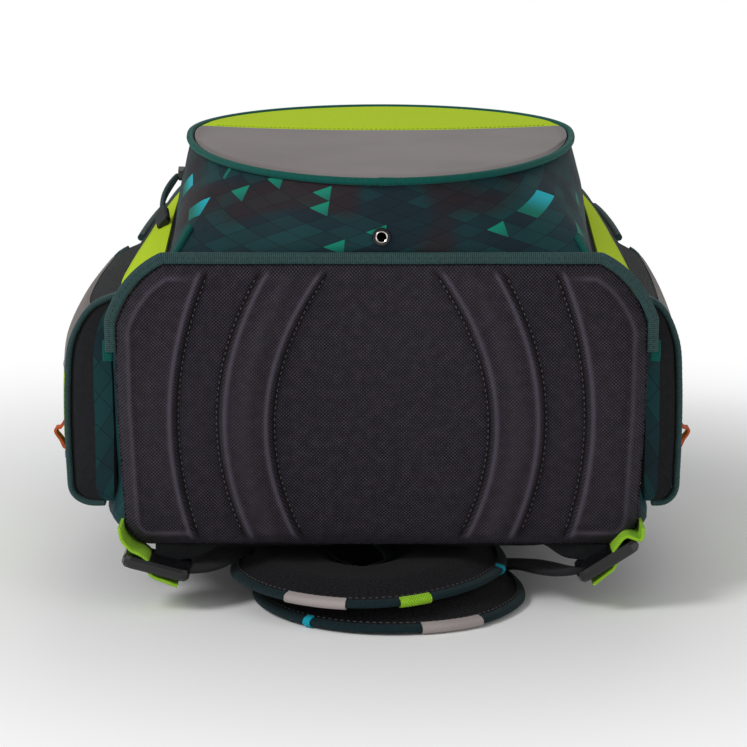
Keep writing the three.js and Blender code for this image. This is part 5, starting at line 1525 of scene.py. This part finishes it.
# the straps' reflectors use the lighter copy of the reflective cloth, a painted reflection
rim_patch("strap_glow_left", -1, 0.745, 0.79, 29.4, lit_strap_reflector, "reflective_textile", "strap_reflector_left")
rim_patch("strap_glow_right", 1, 0.75, 0.8, 29.4, lit_strap_reflector, "reflective_textile", "strap_reflector_right")
rim_patch("strap_lime_tab", -1, 0.693, 0.715, 31.0, lime_web, "lime_textile", "strap_tab_left")
rim_patch("cyan_mark_left", -1, 0.6, 0.605, 30.0, cyan_print, "spacer_mesh")
rim_patch("cyan_mark_right", 1, 0.652, 0.658, 30.0, cyan_print, "spacer_mesh")

# %% [markdown]
# **Webbing.** The lower webs come out of the base's corners and turn through the ladder locks. The adjuster webs
# leave the straps' tapered ends and reach the locks from the other side. Webbing is flat, closely woven and
# stiff, so each is a thin rounded section swept along its route, with a herringbone in its finish.

# %% Webbing
LOCKS = {-1: {"x": 124.0, "z": 26.5, "tilt": 15.0}, 1: {"x": 124.5, "z": 30.5, "tilt": 33.0}}
WEB_WIDTH, WEB_THICK, LOCK_Y, WEB_CORNER = 25.0, 1.8, 3.0, 141.5
# the lower web's turns through a lock: along the lock from its middle, and off its plane
TURNS = ((15.5, 6.4), (9.5, 5.0), (5.2, 2.4), (4.2, -1.8), (0.5, -5.0), (-6.0, -6.0), (-14.0, -7.0))


def lock_point(side, du, dw):
    """A point at a lock, along it and off its plane."""
    lock, a = LOCKS[side], math.radians(LOCKS[side]["tilt"])
    u = np.array([side * math.cos(a), 0, math.sin(a)])
    w = np.array([-side * math.sin(a), 0, math.cos(a)])
    return np.array([side * lock["x"], LOCK_Y, lock["z"]]) + du * u + dw * w


def lower_web(side):
    """Round the body's lower corner, then through the lock."""
    def wrap(degrees, off):
        a, r = math.radians(degrees), BACK_ROUND + off
        out, up = WEB_CORNER - BACK_ROUND + r * math.sin(a), BACK_Z + BACK_ROUND - r * math.cos(a)
        return np.array([side * out, LOCK_Y, up])

    points = np.array([wrap(84, 2.1), wrap(62, 2.9)] + [lock_point(side, *turn) for turn in TURNS])
    return spline(points, np.linspace(0, 1, 140))


def adjuster_web(side):
    """From the strap's tapered end to the lock."""
    route = LEFT_ROUTE if side < 0 else RIGHT_ROUTE
    end = strap_line(route, [1.0])[0][0]
    target = lock_point(side, -10.0, 0.0)
    blend = lambda share: end + (target - end) * np.array(share)
    near = np.array([blend((0.78, 0, 0))[0], target[1] + 7.0, blend((0, 0, 0.72))[2]])
    return spline(np.array([end, blend((0.45, 0.3, 0.3)), near, target]), np.linspace(0, 1, 90))


upright, level = rounded_rect(WEB_THICK, WEB_WIDTH, 0.8, 3, 3), rounded_rect(WEB_WIDTH, WEB_THICK, 0.8, 3, 6)
for side, word in SIDES:
    web = loft(f"lime_web_{word}", sweep_rings(lower_web(side), (0, 1, 0), upright))
    hand_over(web, lime_web, "lime_webbing", f"lower_web_{word}")
    strip = loft(f"strap_web_{word}", sweep_rings(adjuster_web(side), (0, 0, 1), level))
    hand_over(strip, black_web, "black_webbing", f"adjuster_web_{word}")
refinish(plastic, "ladder_lock_left", "ladder_lock_right", "lid_clasp")

# %% [markdown]
# **Web wedges.** Beside each lock, the lower web is sewn into a folded wedge of body cloth that hangs from the back
# panel's edge. Its slab-like section is deepest at the lock and runs out towards the middle in a few soft waves.

# %% Web wedges
WEDGE_X, WEDGE_RUN, WEDGE_LOW, WEDGE_RISE, WEDGE_WAVE, WEDGE_Y = 117.0, 30.0, 24.5, 10.5, 0.8, 9.5
WEDGE_TOP = BACK_Z - GAP
wedges = []
for side in (-1, 1):
    rings = []
    for t in np.linspace(-0.27, 1, 19):
        x = side * (WEDGE_X - WEDGE_RUN * t)
        low = WEDGE_LOW + WEDGE_RISE * max(t, 0) ** 1.6 + WEDGE_WAVE * math.sin(9.0 * t) + 24.0 * max(-t, 0)
        slab = rounded_rect(4.2 - 1.4 * t, WEDGE_TOP - low, 1.2, 3, 3)
        y, z = WEDGE_Y + 4.0 * t + slab[:, 0], (WEDGE_TOP + low) / 2 + slab[:, 1]
        rings.append(np.stack([np.full(len(slab), x), y, z], 1))
    wedges.append(loft("wedge", np.stack(rings)))
wedge = hand_over(join("web_wedges", wedges), body_cloth, "body_textile")

# %% [markdown]
# **Lid.** A stiff shell over the body's open top, with a skirt round it and a longer flap in front that carries
# the clasp. Its edge is bound with the same ribbon as the base. The photo hides it, so it is a plain lid of the
# usual form.

# %% Lid
LID_CLEAR, LID_WALL, SKIRT, SKIRT_BACK, FLAP, FLAP_ROUND = 0.7, 3.0, 24.0, 10.8, 52.0, 21.0
TOP, LID_COUNT = BODY_END + LID_CLEAR, 300


def lid_ring(off, share, count=LID_COUNT):
    """The lid's outline at a share of its skirt's depth, which is short behind and long in front."""
    ring = body_section(BODY_END, off, count)
    front = smooth((ring[:, 2] - (FRONT_Z - FLAP_ROUND)) / FLAP_ROUND)
    skirt = np.where(ring[:, 2] < BACK_Z + 7.5, SKIRT_BACK, SKIRT)
    skirt = np.mean([np.roll(skirt, s) for s in range(-6, 7)], 0)
    drop = skirt + (FLAP - skirt) * front
    ring[:, 1] = TOP + (BODY_END - drop - TOP) * share
    return ring


def cap_ring(off, y):
    """A ring of the lid's top, at height y."""
    ring = body_section(BODY_END, off, LID_COUNT)
    ring[:, 1] = y
    return ring


outer_rings = []
for share in np.linspace(1, 0, 26):
    ring = lid_ring(LID_CLEAR + LID_WALL, share)
    sunk = 0.3 * (1 + np.clip(ripple(ring, 61, 60.0), -1, 1))
    outer_rings.append(ring - unit(ring - ring.mean(0)) * sunk[:, None])
cap_rings = [cap_ring(off, TOP + up) for off, up in ((3.3, 1.2), (2.7, 2.1), (0.5, 2.7), (-3.3, LID_WALL))]
edge = cap_rings[-1]
cap_rings += [edge.mean(0) + (edge - edge.mean(0)) * share for share in np.linspace(0.93, 0.03, 18)]
inner_rings = [lid_ring(LID_CLEAR, share) for share in np.linspace(0, 1, 12)]
ring = lid_ring(LID_CLEAR, 0.0)
under = [ring.mean(0) + (ring - ring.mean(0)) * share for share in np.linspace(0.03, 0.97, 12)]
lid_shell = loft("lid_shell", np.stack(under + inner_rings + outer_rings + cap_rings))
hand_over(lid_shell, print_cloth, "printed_textile", "lid")
spots = lid_shell.data.uv_layers["cloth"].data
for face in lid_shell.data.polygons:
    if abs(face.normal.y) > 0.75:
        for k in face.loop_indices:
            x, _, z = lid_shell.data.vertices[lid_shell.data.loops[k].vertex_index].co
            spots[k].uv = (x, z)
rim = lid_ring(LID_CLEAR + LID_WALL / 2, 1.0, 420)
rim[:, 1] += 1.0
rim_rings = sweep_rings(rim, (0, 1, 0), rounded_rect(4.2, 5.6, 1.5, 3, 2), joined=True)
lid_binding = loft("lid_binding", rim_rings, joined=True)
hand_over(lid_binding, grosgrain, "grosgrain")

# %% [markdown]
# **Top handle.** A padded loop of webbing, sewn flat to the lid at both ends, with a box of stitches on each.

# %% Handle
HALF_SPAN, RISE, HANDLE_Y, HANDLE_Z, BOX_HALF = 56.0, 25.0, 381.1, BACK_Z + 157 * 0.24, 9
half_path = [(-1.14, 0), (-0.98, 0), (-0.88, 0.3), (-0.74, 0.78), (-0.42, 1), (0, 1.04)]
path = half_path + [(-x, y) for x, y in half_path[-2::-1]]
handle_spots = np.array([(x * HALF_SPAN, HANDLE_Y + y * RISE, HANDLE_Z) for x, y in path])
handle_line = spline(handle_spots, np.linspace(0, 1, 150))
handle = loft("carry_handle", sweep_rings(handle_line, (0, 0, 1), rounded_rect(5, 24, 1.8, 3, 4)))
hand_over(handle, black_web, "black_webbing", "top_handle")
boxes = []
for side in (-1, 1):
    x0, x1, y = side * 0.99 * HALF_SPAN, side * 1.11 * HALF_SPAN, HANDLE_Y + 2.7
    corners = [(x, y, HANDLE_Z + up * BOX_HALF) for x, up in ((x0, -1), (x1, -1), (x1, 1), (x0, 1))]
    for k in range(4):
        boxes.append((np.linspace(corners[k], corners[(k + 1) % 4], 12), (0, 1, 0)))
repeat("handle_stitches", boxes, 2.6, (1.9, 0.6, 0.5), dark_thread)
